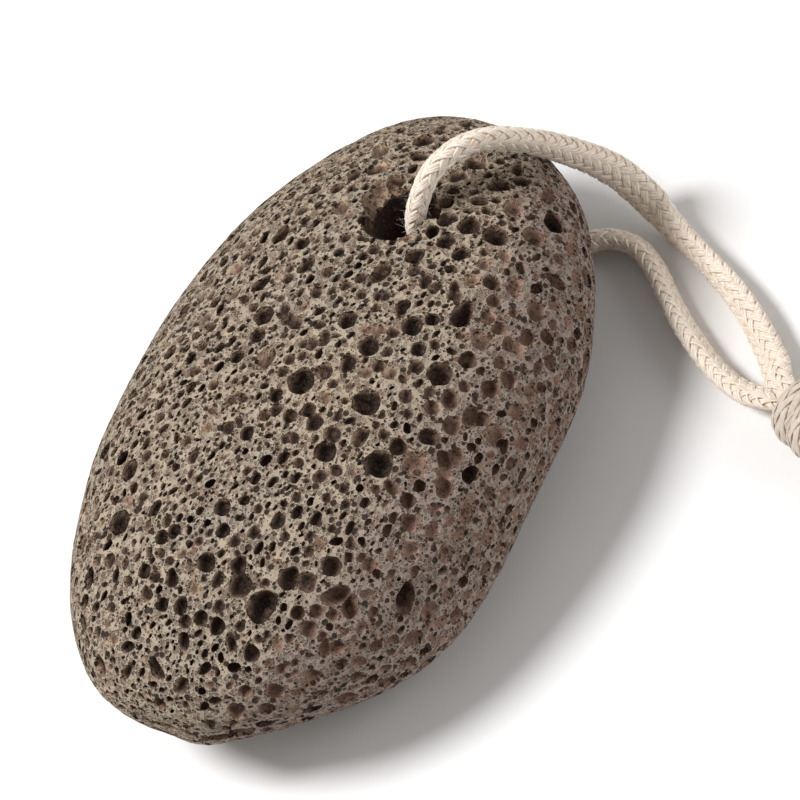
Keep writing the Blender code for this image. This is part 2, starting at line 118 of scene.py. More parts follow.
def placeCamera(setup):
    back = Vector(setup["standsTowards"]).normalized()
    right = Vector(setup["pictureUp"]).cross(back).normalized()
    up = back.cross(right)
    turned = Matrix((right, up, back)).transposed().to_4x4()
    camera = bpy.data.cameras.new("camera")
    camera.lens = setup["lens"]
    camera.sensor_width = setup["sensor"]
    camera.clip_start = 0.01
    stand = bpy.data.objects.new("camera", camera)
    bpy.context.scene.collection.objects.link(stand)
    stand.matrix_world = Matrix.Translation(Vector(setup["aim"]) + back * setup["away"]) @ turned
    bpy.context.scene.camera = stand


placeCamera(cameraSetup)
print("camera placed")


# shared finishes, as node groups

def link(tree, source, target):
    tree.links.new(source, target)


def addNode(tree, kind, **values):
    node = tree.nodes.new(kind)
    for name, value in values.items():
        setattr(node, name, value)
    return node


def mathNode(tree, operation, first, second=None, third=None, clamp=False):
    node = addNode(tree, "ShaderNodeMath", operation=operation, use_clamp=clamp)
    for socket, value in zip(node.inputs, (first, second, third)):
        if value is None:
            continue
        if isinstance(value, (int, float)):
            socket.default_value = value
        else:
            link(tree, value, socket)
    return node.outputs[0]


def mixColour(tree, share, first, second):
    node = addNode(tree, "ShaderNodeMix", data_type="RGBA")
    for socket, value in ((node.inputs[0], share), (node.inputs[6], first), (node.inputs[7], second)):
        if isinstance(value, (int, float)):
            socket.default_value = value
        elif isinstance(value, tuple):
            socket.default_value = (*value, 1.0)
        else:
            link(tree, value, socket)
    return node.outputs[2]


def smoothBetween(tree, value, low, high):
    node = addNode(tree, "ShaderNodeMapRange", interpolation_type="SMOOTHSTEP")
    link(tree, value, node.inputs["Value"])
    node.inputs["From Min"].default_value = low
    node.inputs["From Max"].default_value = high
    return node.outputs["Result"]


def newGroup(name, inputs, outputs):
    group = bpy.data.node_groups.new(name, "ShaderNodeTree")
    for label, kind, value in inputs:
        socket = group.interface.new_socket(name=label, in_out="INPUT", socket_type=kind)
        if value is not None:
            socket.default_value = value
    for label, kind in outputs:
        group.interface.new_socket(name=label, in_out="OUTPUT", socket_type=kind)
    return group, addNode(group, "NodeGroupInput"), addNode(group, "NodeGroupOutput")


def patchGroup():
    # soft patches, in two sizes, as a share from 0 to 1
    group, come, go = newGroup(
        "softPatches",
        [
            ("Place", "NodeSocketVector", None),
            ("Size", "NodeSocketFloat", 60.0),
            ("Contrast", "NodeSocketFloat", 1.6),
        ],
        [("Share", "NodeSocketFloat")],
    )
    broad = addNode(group, "ShaderNodeTexNoise")
    broad.inputs["Detail"].default_value = 3.0
    link(group, come.outputs["Place"], broad.inputs["Vector"])
    link(group, come.outputs["Size"], broad.inputs["Scale"])
    raised = mathNode(group, "SUBTRACT", broad.outputs["Fac"], 0.5)
    stretched = mathNode(group, "MULTIPLY_ADD", raised, come.outputs["Contrast"], 0.5, clamp=True)
    link(group, stretched, go.inputs["Share"])
    return group


def poreGroup():
    # round pores where the surface cuts through a cloud of small bubbles: a mask and how deep they are
    group, come, go = newGroup(
        "finePores",
        [
            ("Place", "NodeSocketVector", None),
            ("Size", "NodeSocketFloat", 1000.0),
            ("Smallest", "NodeSocketFloat", 0.05),
            ("Largest", "NodeSocketFloat", 0.4),
        ],
        [("Mask", "NodeSocketFloat"), ("Depth", "NodeSocketFloat")],
    )
    cells = addNode(group, "ShaderNodeTexVoronoi", feature="F1")
    link(group, come.outputs["Place"], cells.inputs["Vector"])
    link(group, come.outputs["Size"], cells.inputs["Scale"])
    chance = addNode(group, "ShaderNodeSeparateColor")
    link(group, cells.outputs["Color"], chance.inputs["Color"])
    room = mathNode(group, "SUBTRACT", come.outputs["Largest"], come.outputs["Smallest"])
    radius = mathNode(group, "MULTIPLY_ADD", chance.outputs["Red"], room, come.outputs["Smallest"])
    inside = mathNode(group, "SUBTRACT", radius, cells.outputs["Distance"])
    link(group, smoothBetween(group, inside, 0.0, 0.07), go.inputs["Mask"])
    link(group, mathNode(group, "MAXIMUM", inside, 0.0), go.inputs["Depth"])
    return group


def foamGroup():
    # a foam of small cells cut through by the surface: thin walls between hollows of uneven depth
    group, come, go = newGroup(
        "foamCells",
        [
            ("Place", "NodeSocketVector", None),
            ("Size", "NodeSocketFloat", 1500.0),
            ("Wall", "NodeSocketFloat", 0.05),
            ("Filled", "NodeSocketFloat", 0.3),
        ],
        [("Hollow", "NodeSocketFloat")],
    )
    edges = addNode(group, "ShaderNodeTexVoronoi", feature="DISTANCE_TO_EDGE")
    cells = addNode(group, "ShaderNodeTexVoronoi", feature="F1")
    for texture in (edges, cells):
        link(group, come.outputs["Place"], texture.inputs["Vector"])
        link(group, come.outputs["Size"], texture.inputs["Scale"])
    beyond = mathNode(group, "SUBTRACT", edges.outputs["Distance"], come.outputs["Wall"])
    opened = smoothBetween(group, beyond, 0.0, 0.15)
    chance = addNode(group, "ShaderNodeSeparateColor")
    link(group, cells.outputs["Color"], chance.inputs["Color"])
    spare = mathNode(group, "SUBTRACT", chance.outputs["Green"], come.outputs["Filled"])
    deep = mathNode(group, "MULTIPLY", spare, 2.2, clamp=True)
    link(group, mathNode(group, "MULTIPLY", opened, deep), go.inputs["Hollow"])
    return group


softPatches = patchGroup()
finePores = poreGroup()
foamCells = foamGroup()


def useGroup(tree, group, place, **values):
    node = addNode(tree, "ShaderNodeGroup", node_tree=group)
    link(tree, place, node.inputs["Place"])
    for name, value in values.items():
        node.inputs[name].default_value = value
    return node


def newMaterial(name):
    material = bpy.data.materials.new(name)
    material.use_nodes = True
    tree = material.node_tree
    shader = tree.nodes["Principled BSDF"]
    place = addNode(tree, "ShaderNodeTexCoord").outputs["Object"]
    return material, tree, shader, place


def bentPlace(tree, place, size, amount):
    # the same place, pushed about a little, so that cells don't come out straight-sided
    waves = addNode(tree, "ShaderNodeTexNoise")
    link(tree, place, waves.inputs["Vector"])
    waves.inputs["Scale"].default_value = size
    waves.inputs["Detail"].default_value = 1.0
    push = addNode(tree, "ShaderNodeVectorMath", operation="SCALE")
    middle = addNode(tree, "ShaderNodeVectorMath", operation="SUBTRACT")
    link(tree, waves.outputs["Color"], middle.inputs[0])
    middle.inputs[1].default_value = (0.5, 0.5, 0.5)
    link(tree, middle.outputs["Vector"], push.inputs[0])
    push.inputs["Scale"].default_value = amount
    moved = addNode(tree, "ShaderNodeVectorMath", operation="ADD")
    link(tree, place, moved.inputs[0])
    link(tree, push.outputs["Vector"], moved.inputs[1])
    return moved.outputs["Vector"]


def readAttribute(tree, name):
    return addNode(tree, "ShaderNodeAttribute", attribute_name=name).outputs["Fac"]


# the cord: a flat tube of cotton braid. Its route runs from inside the knot over the stone, down the hole
# and back

cordRoute = [
    (0.0282, -0.0572, 0.0051), (0.0295, -0.0545, 0.0047), (0.0326, -0.0512, 0.0031),
    (0.0358, -0.0476, 0.0024), (0.0392, -0.0434, 0.0024), (0.0424, -0.0386, 0.0024),
    (0.0451, -0.0336, 0.0024), (0.0476, -0.0286, 0.0025), (0.0499, -0.0240, 0.0028),
    (0.0516, -0.0204, 0.0042), (0.0523, -0.0179, 0.0072), (0.0519, -0.0161, 0.0112),
    (0.0504, -0.0150, 0.0159), (0.0482, -0.0142, 0.0209), (0.0458, -0.0132, 0.0259),
    (0.0430, -0.0119, 0.0306), (0.0400, -0.0104, 0.0340), (0.0364, -0.0087, 0.0358),
    (0.0327, -0.0069, 0.0354), (0.0299, -0.0055, 0.0331), (0.0277, -0.0037, 0.0288),
    (0.0270, -0.0028, 0.0220), (0.0270, -0.0026, 0.0148), (0.0282, -0.0034, 0.0084),
    (0.0312, -0.0047, 0.0041), (0.0352, -0.0067, 0.0025), (0.0394, -0.0086, 0.0022),
    (0.0432, -0.0114, 0.0024), (0.0454, -0.0156, 0.0025), (0.0451, -0.0204, 0.0025),
    (0.0428, -0.0246, 0.0025), (0.0396, -0.0284, 0.0025), (0.0364, -0.0324, 0.0025),
    (0.0333, -0.0368, 0.0025), (0.0306, -0.0412, 0.0025), (0.0286, -0.0458, 0.0025),
    (0.0276, -0.0500, 0.0030), (0.0271, -0.0537, 0.0044), (0.0267, -0.0570, 0.0050),
]
holeMiddle = 21

# The way the broad side of the cord faces, by its number along the route.
cordFacing = {
    1: (0.12, -0.52, -0.84), 4: (0.64, -0.47, -0.60), 6: (0.82, -0.42, -0.38),
    7: (0.87, -0.43, -0.24), 8: (0.84, -0.32, -0.44), 9: (0.72, 0.20, -0.67),
    10: (0.76, 0.54, -0.36), 11: (0.72, 0.69, -0.07), 12: (0.73, 0.67, 0.15),
    13: (0.73, 0.65, 0.22), 14: (0.78, 0.56, 0.28), 15: (0.80, 0.42, 0.43), 17: (0.43, 0.65, 0.62),
    19: (-0.22, 0.80, 0.55), 21: (-0.63, 0.72, 0.10), 23: (-0.60, 0.60, 0.45),
    25: (-0.10, 0.35, 0.95), 27: (0.45, 0.30, 0.85), 28: (0.76, 0.17, 0.63),
    29: (0.91, -0.26, 0.31), 31: (0.76, -0.62, 0.18), 34: (0.85, -0.44, 0.30),
    37: (0.64, 0.19, 0.74),
}

cordMake = {
    "broad": 5.2,
    "thick": 3.1,
    "carriers": 8,
    "layLength": 17.5,
    "lift": 0.17,
    "strandWide": 1.24,
    "strandThick": 0.52,
    "yarnRise": 0.12,
    "ringStep": 0.5,
    "coreShare": 0.72,
    "declaredAcross": 0.0042,
    "uneven": 0.05,
    "coreSides": 10,
    "offFloor": 0.00003,
}

# One strand lies as three yarns side by side: (across, height, share of painted crevice shade), each as a
# share, over the top and back below.
strandSection = [
    (-1.0, 0.0, 1.0), (-0.67, 1.0, 0.0), (-0.34, 0.35, 0.8), (0.0, 1.15, 0.0), (0.34, 0.35, 0.8),
    (0.67, 1.0, 0.0), (1.0, 0.0, 1.0), (0.55, -0.8, 1.0), (-0.55, -0.8, 1.0),
]

knotMake = {
    "middle": (0.0257, -0.0612, 0.0051),
    "heading": -113.0,
    "turns": 2.6,
    "startsAt": -0.0044,
    "endsAt": 0.0046,
    "radius": 0.0031,
    "widened": 1.18,
    "squeezed": 0.80,
    "pulled": 1.7,
    "tailLong": 0.0125,
    "tailSpread": 11.0,
    "tailDrop": 0.0028,
    "tailThick": 0.72,
}


def smoothThrough(points, step):
    # even points along one smooth curve through the given ones, and where on it each given one lies
    route = [Vector(point) for point in points]
    ends = [2 * route[0] - route[1]] + route + [2 * route[-1] - route[-2]]
    fine = []
    pieces = 24
    for before, start, end, after in zip(ends, ends[1:], ends[2:], ends[3:]):
        for count in range(pieces):
            t = count / pieces
            square = 2 * before - 5 * start + 4 * end - after
            cube = 3 * start - before - 3 * end + after
            fine.append(0.5 * (2 * start + (end - before) * t + square * t**2 + cube * t**3))
    fine.append(route[-1])
    fine = np.array([tuple(point) for point in fine])
    along = np.concatenate([[0.0], np.cumsum(np.linalg.norm(np.diff(fine, axis=0), axis=1))])
    count = max(8, round(along[-1] / step))
    even = np.linspace(0.0, along[-1], count + 1)
    line = np.stack([np.interp(even, along, fine[:, axis]) for axis in range(3)], axis=1)
    return line, even, along[::pieces]


def facingAlong(even, marks, facing):
    # the broad side's direction at each even point, from the ones given at numbered marks
    at = [marks[number] for number in sorted(facing)]
    ways = np.array([facing[number] for number in sorted(facing)])
    return np.stack([np.interp(even, at, ways[:, axis]) for axis in range(3)], axis=1)


def lineFrames(line, facing):
    # for each point: along the cord, across its broad side, and out of its broad side
    ahead = np.gradient(line, axis=0)
    ahead /= np.linalg.norm(ahead, axis=1)[:, None]
    out = facing - ahead * (facing * ahead).sum(1)[:, None]
    out /= np.linalg.norm(out, axis=1)[:, None]
    return ahead, np.cross(out, ahead), out


def ovalTable(broad, thick):
    # the angle on an oval at each even share of the way round it
    angles = np.linspace(0.0, 2 * np.pi, 721)
    x, y = broad * np.cos(angles), thick * np.sin(angles)
    round_ = np.concatenate([[0.0], np.cumsum(np.hypot(np.diff(x), np.diff(y)))])
    return round_ / round_[-1], angles


def ringFaces(rings, sides, start):
    faces = []
    for ring in range(rings - 1):
        low = start + ring * sides
        for side in range(sides):
            after = (side + 1) % sides
            faces.append((low + side, low + after, low + sides + after, low + sides + side))
    faces.append(tuple(start + side for side in reversed(range(sides))))
    faces.append(tuple(start + (rings - 1) * sides + side for side in range(sides)))
    return faces


def braid(line, facing, even, make, size, chance, flare=None):
    # the points, faces and attributes of a braided tube: strands that wind both ways, two over and two under
    _, across, out = lineFrames(line, facing)
    lift, thick = make["lift"] * mm, make["strandThick"] * mm
    broadAxis = make["broad"] * mm / 2 - lift - thick / 2
    thickAxis = make["thick"] * mm / 2 - lift - thick / 2
    share, angles = ovalTable(broadAxis, thickAxis)
    carriers = make["carriers"]
    turnsAlong = even / (make["layLength"] * mm)
    section = np.array(strandSection)
    points, faces, gapShade, where = [], [], [], []
    count = 0
    for way in (1, -1):
        for number in range(carriers):
            spot = number / carriers + way * turnsAlong + chance.uniform(-0.004, 0.004)
            angle = np.interp(spot % 1.0, share, angles)
            crossed = 2 * carriers * turnsAlong + 2 * number * way
            wave = np.cos(np.pi / 2 * crossed - way * np.pi / 4)
            rise = way * lift * np.clip(1.35 * wave, -1.0, 1.0)
            wobble = 1.0 + make["uneven"] * np.array(
                [noise.noise(Vector((number * 3.1 + way, step * 90.0, 5.0))) for step in even])
            grow = size * wobble if flare is None else size * wobble * flare(number, way)
            x = broadAxis * np.cos(angle) * grow
            y = thickAxis * np.sin(angle) * grow
            nx, ny = np.cos(angle) / broadAxis, np.sin(angle) / thickAxis
            length = np.hypot(nx, ny)
            normal = across * (nx / length)[:, None] + out * (ny / length)[:, None]
            middle = line + across * x[:, None] + out * y[:, None] + normal * rise[:, None]
            along = np.gradient(middle, axis=0)
            along /= np.linalg.norm(along, axis=1)[:, None]
            side = np.cross(normal, along)
            side /= np.linalg.norm(side, axis=1)[:, None]
            halfWide = make["strandWide"] * mm / 2 * size
            for u, height, gapShadeShare in section:
                tall = np.where(height > 0, height * make["yarnRise"] * mm + thick / 4, height * thick / 2)
                tall = tall * size
                points.append(middle + side * (u * halfWide)[:, None] + normal * tall[:, None])
                # how much painted crevice shade each point of the section gets
                gapShade.append(np.full(len(line), gapShadeShare))
                where.append(np.full(len(line), (u + 1) / 2 + number + (carriers if way < 0 else 0)))
            sides = len(section)
            faces += ringFaces(len(line), sides, count)
            count += len(line) * sides
    # the points are in order of section point; the faces need them ring by ring
    columns = 2 * carriers
    stacked = np.array(points).reshape(columns, len(section), len(line), 3).transpose(0, 2, 1, 3)
    gapShades = np.array(gapShade).reshape(columns, len(section), len(line)).transpose(0, 2, 1)
    wheres = np.array(where).reshape(columns, len(section), len(line)).transpose(0, 2, 1)
    lengths = np.broadcast_to(even[None, :, None], gapShades.shape)
    return stacked.reshape(-1, 3), faces, gapShades.ravel(), wheres.ravel(), lengths.ravel()


def cordCore(line, facing, make, size):
    # the dull middle that shows between the strands
    _, across, out = lineFrames(line, facing)
    sides = make["coreSides"]
    broad, thick = (make[key] * mm / 2 * make["coreShare"] * size for key in ("broad", "thick"))
    points = []
    for side in range(sides):
        angle = 2 * math.pi * side / sides
        sideways = across * (broad * math.cos(angle))[:, None]
        points.append(line + sideways + out * (thick * math.sin(angle))[:, None])
    return np.array(points).transpose(1, 0, 2).reshape(-1, 3), ringFaces(len(line), sides, 0)


fuzzMake = {
    "perMillimetre": 20.0,
    "longest": 1.7,
    "shortest": 0.4,
    "across": 0.034,
    "stands": 0.50,
    "rooted": 0.15,
    "offFloor": 0.05,
    "steps": 4,
}


def fuzz(line, facing, make, size, amount, chance):
    # loose fibres that stand off the cord, each a thin curved spike with three sides
    ahead, across, out = lineFrames(line, facing)
    points, faces = [], []
    steps = fuzzMake["steps"]
    for _ in range(amount):
        spot = chance.randrange(2, len(line) - 2)
        angle = chance.uniform(0, 2 * math.pi)
        broad, thick = make["broad"] * mm / 2 * size[spot], make["thick"] * mm / 2 * size[spot]
        away = across[spot] * math.cos(angle) * thick + out[spot] * math.sin(angle) * broad
        away /= np.linalg.norm(away)
        root = line[spot] + across[spot] * (broad * math.cos(angle)) + out[spot] * (thick * math.sin(angle))
        drift = ahead[spot] * chance.gauss(0, 0.9) + np.array([chance.gauss(0, 0.5) for _ in range(3)])
        aim = away * chance.uniform(0.1, fuzzMake["stands"]) + drift
        aim /= np.linalg.norm(aim)
        if aim @ away < 0.05:
            aim = aim - away * (aim @ away) + away * 0.1
        curl = np.array([chance.gauss(0, 0.35) for _ in range(3)])
        long = chance.uniform(fuzzMake["shortest"], fuzzMake["longest"]) * mm
        radius = fuzzMake["across"] * mm / 2 * chance.uniform(0.6, 1.2)
        sideways = np.cross(aim, away + 0.01)
        sideways /= max(np.linalg.norm(sideways), 1e-6)
        other = np.cross(aim, sideways)
        start = len(points)
        place = root - away * fuzzMake["rooted"] * mm
        for step in range(steps):
            thin = radius * (1.0 - 0.7 * step / (steps - 1))
            for corner in range(3):
                turn = 2 * math.pi * corner / 3
                spotPoint = place + sideways * (thin * math.cos(turn)) + other * (thin * math.sin(turn))
                spotPoint[2] = max(spotPoint[2], fuzzMake["offFloor"] * mm)
                points.append(spotPoint)
            aim = aim + curl / steps
            aim /= np.linalg.norm(aim)
            place = place + aim * long / (steps - 1)
        faces += ringFaces(steps, 3, start)
    return np.array(points), faces


def joinedMesh(name, parts, greyerKnot, material):
    # one mesh from several lists of points and faces, with the cotton's attributes
    points, faces, gapShades, wheres, lengths = [], [], [], [], []
    count = 0
    for part in parts:
        spots, sides = part[0], part[1]
        blank = np.zeros(len(spots))
        gapShade, where, length = part[2:] if len(part) > 2 else (blank, blank, blank)
        points.append(spots)
        faces += [tuple(corner + count for corner in face) for face in sides]
        gapShades.append(gapShade)
        wheres.append(where)
        lengths.append(length)
        count += len(spots)
    spots = np.concatenate(points)
    spots[:, 2] = np.maximum(spots[:, 2], cordMake["offFloor"])
    piece = newMesh(name, spots, faces)
    # the painted crevice shade of each point
    pointAttribute(piece.data, "gapShade", np.concatenate(gapShades))
    pointAttribute(piece.data, "strand", np.concatenate(wheres))
    pointAttribute(piece.data, "along", np.concatenate(lengths) / mm)
    pointAttribute(piece.data, "greyerKnot", np.full(count, greyerKnot))
    piece.data.materials.append(material)
    makeActive(piece)
    bpy.ops.object.mode_set(mode="EDIT")
    bpy.ops.mesh.select_all(action="SELECT")
    bpy.ops.mesh.normals_make_consistent(inside=False)
    bpy.ops.object.mode_set(mode="OBJECT")
    bpy.ops.object.shade_smooth()
    return piece


def cottonMaterial():
    material, tree, shader, place = newMaterial("cotton")
    gapShade = readAttribute(tree, "gapShade")
    strand = readAttribute(tree, "strand")
    along = readAttribute(tree, "along")
    spun = addNode(tree, "ShaderNodeCombineXYZ")
    link(tree, mathNode(tree, "MULTIPLY", strand, 2.6), spun.inputs["X"])
    link(tree, mathNode(tree, "MULTIPLY", along, 0.40), spun.inputs["Y"])
    fibres = addNode(tree, "ShaderNodeTexNoise")
    fibres.inputs["Scale"].default_value = 3.0
    fibres.inputs["Detail"].default_value = 4.0
    link(tree, spun.outputs["Vector"], fibres.inputs["Vector"])
    patches = useGroup(tree, softPatches, place, Size=90.0, Contrast=1.8)
    pale = mixColour(tree, patches.outputs["Share"], (0.90, 0.82, 0.72), (0.94, 0.89, 0.81))
    streaks = smoothBetween(tree, fibres.outputs["Fac"], 0.36, 0.56)
    spunColour = mixColour(tree, streaks, (0.70, 0.54, 0.40), pale)
    # painted shade: the strands' edges, the valleys between yarns and the undersides are darkened as crevice
    # shade
    shade = mixColour(tree, mathNode(tree, "MULTIPLY", gapShade, 0.55), spunColour, (0.60, 0.45, 0.32))
    # the knot is made greyer and darker
    greyed = mathNode(tree, "MULTIPLY", readAttribute(tree, "greyerKnot"), 0.55)
    shade = mixColour(tree, greyed, shade, (0.46, 0.385, 0.315))
    link(tree, shade, shader.inputs["Base Color"])
    shader.inputs["Roughness"].default_value = 0.92
    shader.inputs["Specular IOR Level"].default_value = 0.15
    shader.inputs["Sheen Weight"].default_value = 0.25
    shader.inputs["Sheen Roughness"].default_value = 0.5
    bump = addNode(tree, "ShaderNodeBump")
    bump.inputs["Strength"].default_value = 0.8
    bump.inputs["Distance"].default_value = 0.00016
    link(tree, fibres.outputs["Fac"], bump.inputs["Height"])
    link(tree, bump.outputs["Normal"], shader.inputs["Normal"])
    return material


cotton = cottonMaterial()


def makeLeg(name, line, even, facing, size, chance, fuzzAmount):
    parts = [
        braid(line, facing, even, cordMake, size, chance),
        cordCore(line, facing, cordMake, size),
        fuzz(line, facing, cordMake, size, fuzzAmount, chance),
    ]
    leg = joinedMesh(name, parts, 0.0, cotton)
    print(name, triangleCount(leg), "triangles,", round(float(even[-1] - even[0]) * 1000), "mm")
    return leg


def knotPlace(make):
    return Matrix.Translation(make["middle"]) @ Matrix.Rotation(math.radians(make["heading"]), 4, "Z")


def knotWrap(make):
    # the cord's path round the knot, dipping inside at both ends, and the way its broad side faces
    turned = knotPlace(make)
    steps = 40
    points, facing = [], []
    for step in range(steps + 1):
        share = step / steps
        angle = 2 * math.pi * make["turns"] * share + math.pi
        deep = min(1.0, 0.25 + 6.0 * min(share, 1 - share))
        radius = make["radius"] * deep
        x = make["startsAt"] + (make["endsAt"] - make["startsAt"]) * share
        y = radius * make["widened"] * math.cos(angle)
        z = radius * math.sin(angle)
        points.append(turned @ Vector((x, y, z)))
        facing.append(turned.to_3x3() @ Vector((0, math.cos(angle), math.sin(angle))))
    return points, np.array([tuple(way) for way in facing])


def knotTail(make, side):
    turned = knotPlace(make)
    spread = math.radians(make["tailSpread"] * side)
    points = []
    long = make["endsAt"] + 0.0022 + make["tailLong"]
    for share in (0.0, 0.15, 0.3, 0.5, 0.7, 0.85, 1.0):
        ahead = long * share
        sideways = math.sin(spread) * ahead + side * 0.0006 * math.sin(math.pi * share)
        drop = make["tailDrop"] * share**1.6 if share < 1 else make["tailDrop"]
        points.append(turned @ Vector((ahead * math.cos(spread), sideways, -drop)))
    return points


def splay(ends, amount):
    # the last of a cut end, where the strands come apart
    def flare(number, way):
        return 1.0 + ends * amount * (0.6 + 0.4 * math.sin(number * 2.3 + way))
    return flare


def makeKnot(make, chance):
    parts = []
    points, facing = knotWrap(make)
    line, even, marks = smoothThrough(points, cordMake["ringStep"] * mm)
    ways = np.stack([np.interp(even, marks, facing[:, axis]) for axis in range(3)], axis=1)
    size = np.full(len(line), make["squeezed"])
    pulled = {**cordMake, "layLength": cordMake["layLength"] * make["pulled"]}
    parts.append(braid(line, ways, even, pulled, size, chance))
    parts.append(cordCore(line, ways, cordMake, size))
    parts.append(fuzz(line, ways, cordMake, size, 60, chance))
    for side in (-1, 1):
        line, even, _ = smoothThrough(knotTail(make, side), cordMake["ringStep"] * mm)
        up = np.tile([0.15 * side, 0.1, 1.0], (len(line), 1))
        size = np.full(len(line), make["tailThick"])
        last = np.clip((even - even[-1] + 0.003) / 0.003, 0.0, 1.0)
        parts.append(braid(line, up, even, cordMake, size, chance, splay(last, 0.35)))
        parts.append(cordCore(line, up, cordMake, size))
        parts.append(fuzz(line, up, cordMake, size, 90, chance))
    knot = joinedMesh("cordKnot", parts, 1.0, cotton)
    print("cordKnot", triangleCount(knot), "triangles")
    return knot


def makeCord():
    chance = random.Random(5)
    step = cordMake["ringStep"] * mm
    line, even, marks = smoothThrough(cordRoute, step)
    facing = facingAlong(even, marks, cordFacing)
    ends = np.minimum(even, even[-1] - even)
    size = np.interp(ends, [0.0, 0.0025, 0.007], [0.62, 0.80, 1.0])
    middle = int(np.argmin(abs(even - marks[holeMiddle])))
    amount = int(fuzzMake["perMillimetre"] * even[-1] / mm / 2)
    parts = {"topLeg": slice(0, middle + 1), "underLeg": slice(middle, None)}
    legs = {}
    for name, run in parts.items():
        legs[name] = makeLeg(name, line[run], even[run], facing[run], size[run], chance, amount)
    knot = makeKnot(knotMake, chance)
    for piece in [*legs.values(), knot]:
        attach(piece, "root")
    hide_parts("cord")
    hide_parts("cord")
    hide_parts("cord_knot")


makeCord()
print("cord made")


# the stone: its body first, the same as the frame's, then every bubble cut into it. Lengths here are in
# millimetres

stoneMake = {
    "long": 100.0,
    "wide": 66.0,
    "high": 35.0,
    "seatWear": 1.2,
    "planPower": 2.1,
    "crownPower": 2.4,
    "bellyPower": 2.3,
    "bluntEnd": 0.03,
    "planBend": 0.9,
    "shift": (0.22, 0.15, 0.0),
    "lumpHeight": 0.45,
    "lumpSpacing": 17.0,
    "bodySteps": 5,
    "grit": 0.16,
    "gritSpacing": 2.4,
}

# Broad swells and worn hollows: the way each one faces, its height and how wide it spreads.
stoneSwells = [
    ((-0.93, 0.28, 0.10), 1.1, 0.35),
    ((0.93, 0.25, 0.30), 0.2, 0.30),
    ((-0.20, -0.95, -0.15), -0.9, 0.40),
    ((-0.80, -0.55, -0.20), -1.2, 0.22),
    ((-0.45, -0.80, -0.39), 2.1, 0.30),
    ((-0.42, 0.86, 0.28), -0.9, 0.33),
    ((-0.97, -0.16, -0.20), 0.8, 0.12),
]

holeMake = {
    "uneven": 0.05,
    "unevenSize": 2.2,
    "chipDepth": 0.42,
    "chipDeepest": 3.2,
    "chipDepthShare": 0.20,
    "chipSunken": 0.19,
    "x": 26.9,
    "y": -2.2,
    "across": 8.2,
    "sides": 40,
    "lowerAcross": 19.0,
    "lowerDepth": 11.0,
    "upperAcross": 9.4,
    "upperDepth": 4.0,
    "chip": (28.6, 2.0, 5.6, 4.8, 0),
    "wear": [((34.0, -5.9, 2.8), (8.0, 3.8, 4.0), -24.0), ((29.2, -5.4, 33.2), (2.8, 2.8, 4.2), 0.0)],
}

bubbleMake = {
    "seed": 23,
    "depths": {"deep": 0.60, "open": 0.46, "shallow": 0.25, "window": 0.76},
    "flowTurn": -19.0,
    "flowSpread": 26.0,
    "large": 2.5,
    "small": 0.95,
    "variants": 7,
    "mostTriangles": 196000,
    "uneven": 0.24,
    "spacing": 1.04,
}

# How thick the random bubbles lie, and how their sizes spread: on the ground faces and on the side away.
scatterMake = {
    "sizeFirst": 0.65,
    "narrowest": 0.52,
    "widest": 0.84,
    "flankWider": 0.12,
    "shallowOnFlank": 0.60,
    "shallowOnCrown": 0.10,
    "openShare": 0.20,
    "deepUpTo": 0.86,
    "amount": 2800,
    "tries": 14,
    "middleSize": 1.30,
    "sizeSpread": 0.44,
    "smallest": 0.86,
    "smallestAway": 1.45,
    "largest": 3.6,
    "seatClear": (19.0, 15.0),
    "mouthClear": 5.0,
    "lowerMouthClear": 9.0,
    "fineSpots": [((-16.5, 6.0), 9.0), ((-43.0, 2.0), 7.0), ((-33.0, -9.0), 5.0)],
    "fineShare": 0.66,
    "flankShare": 1.35,
}
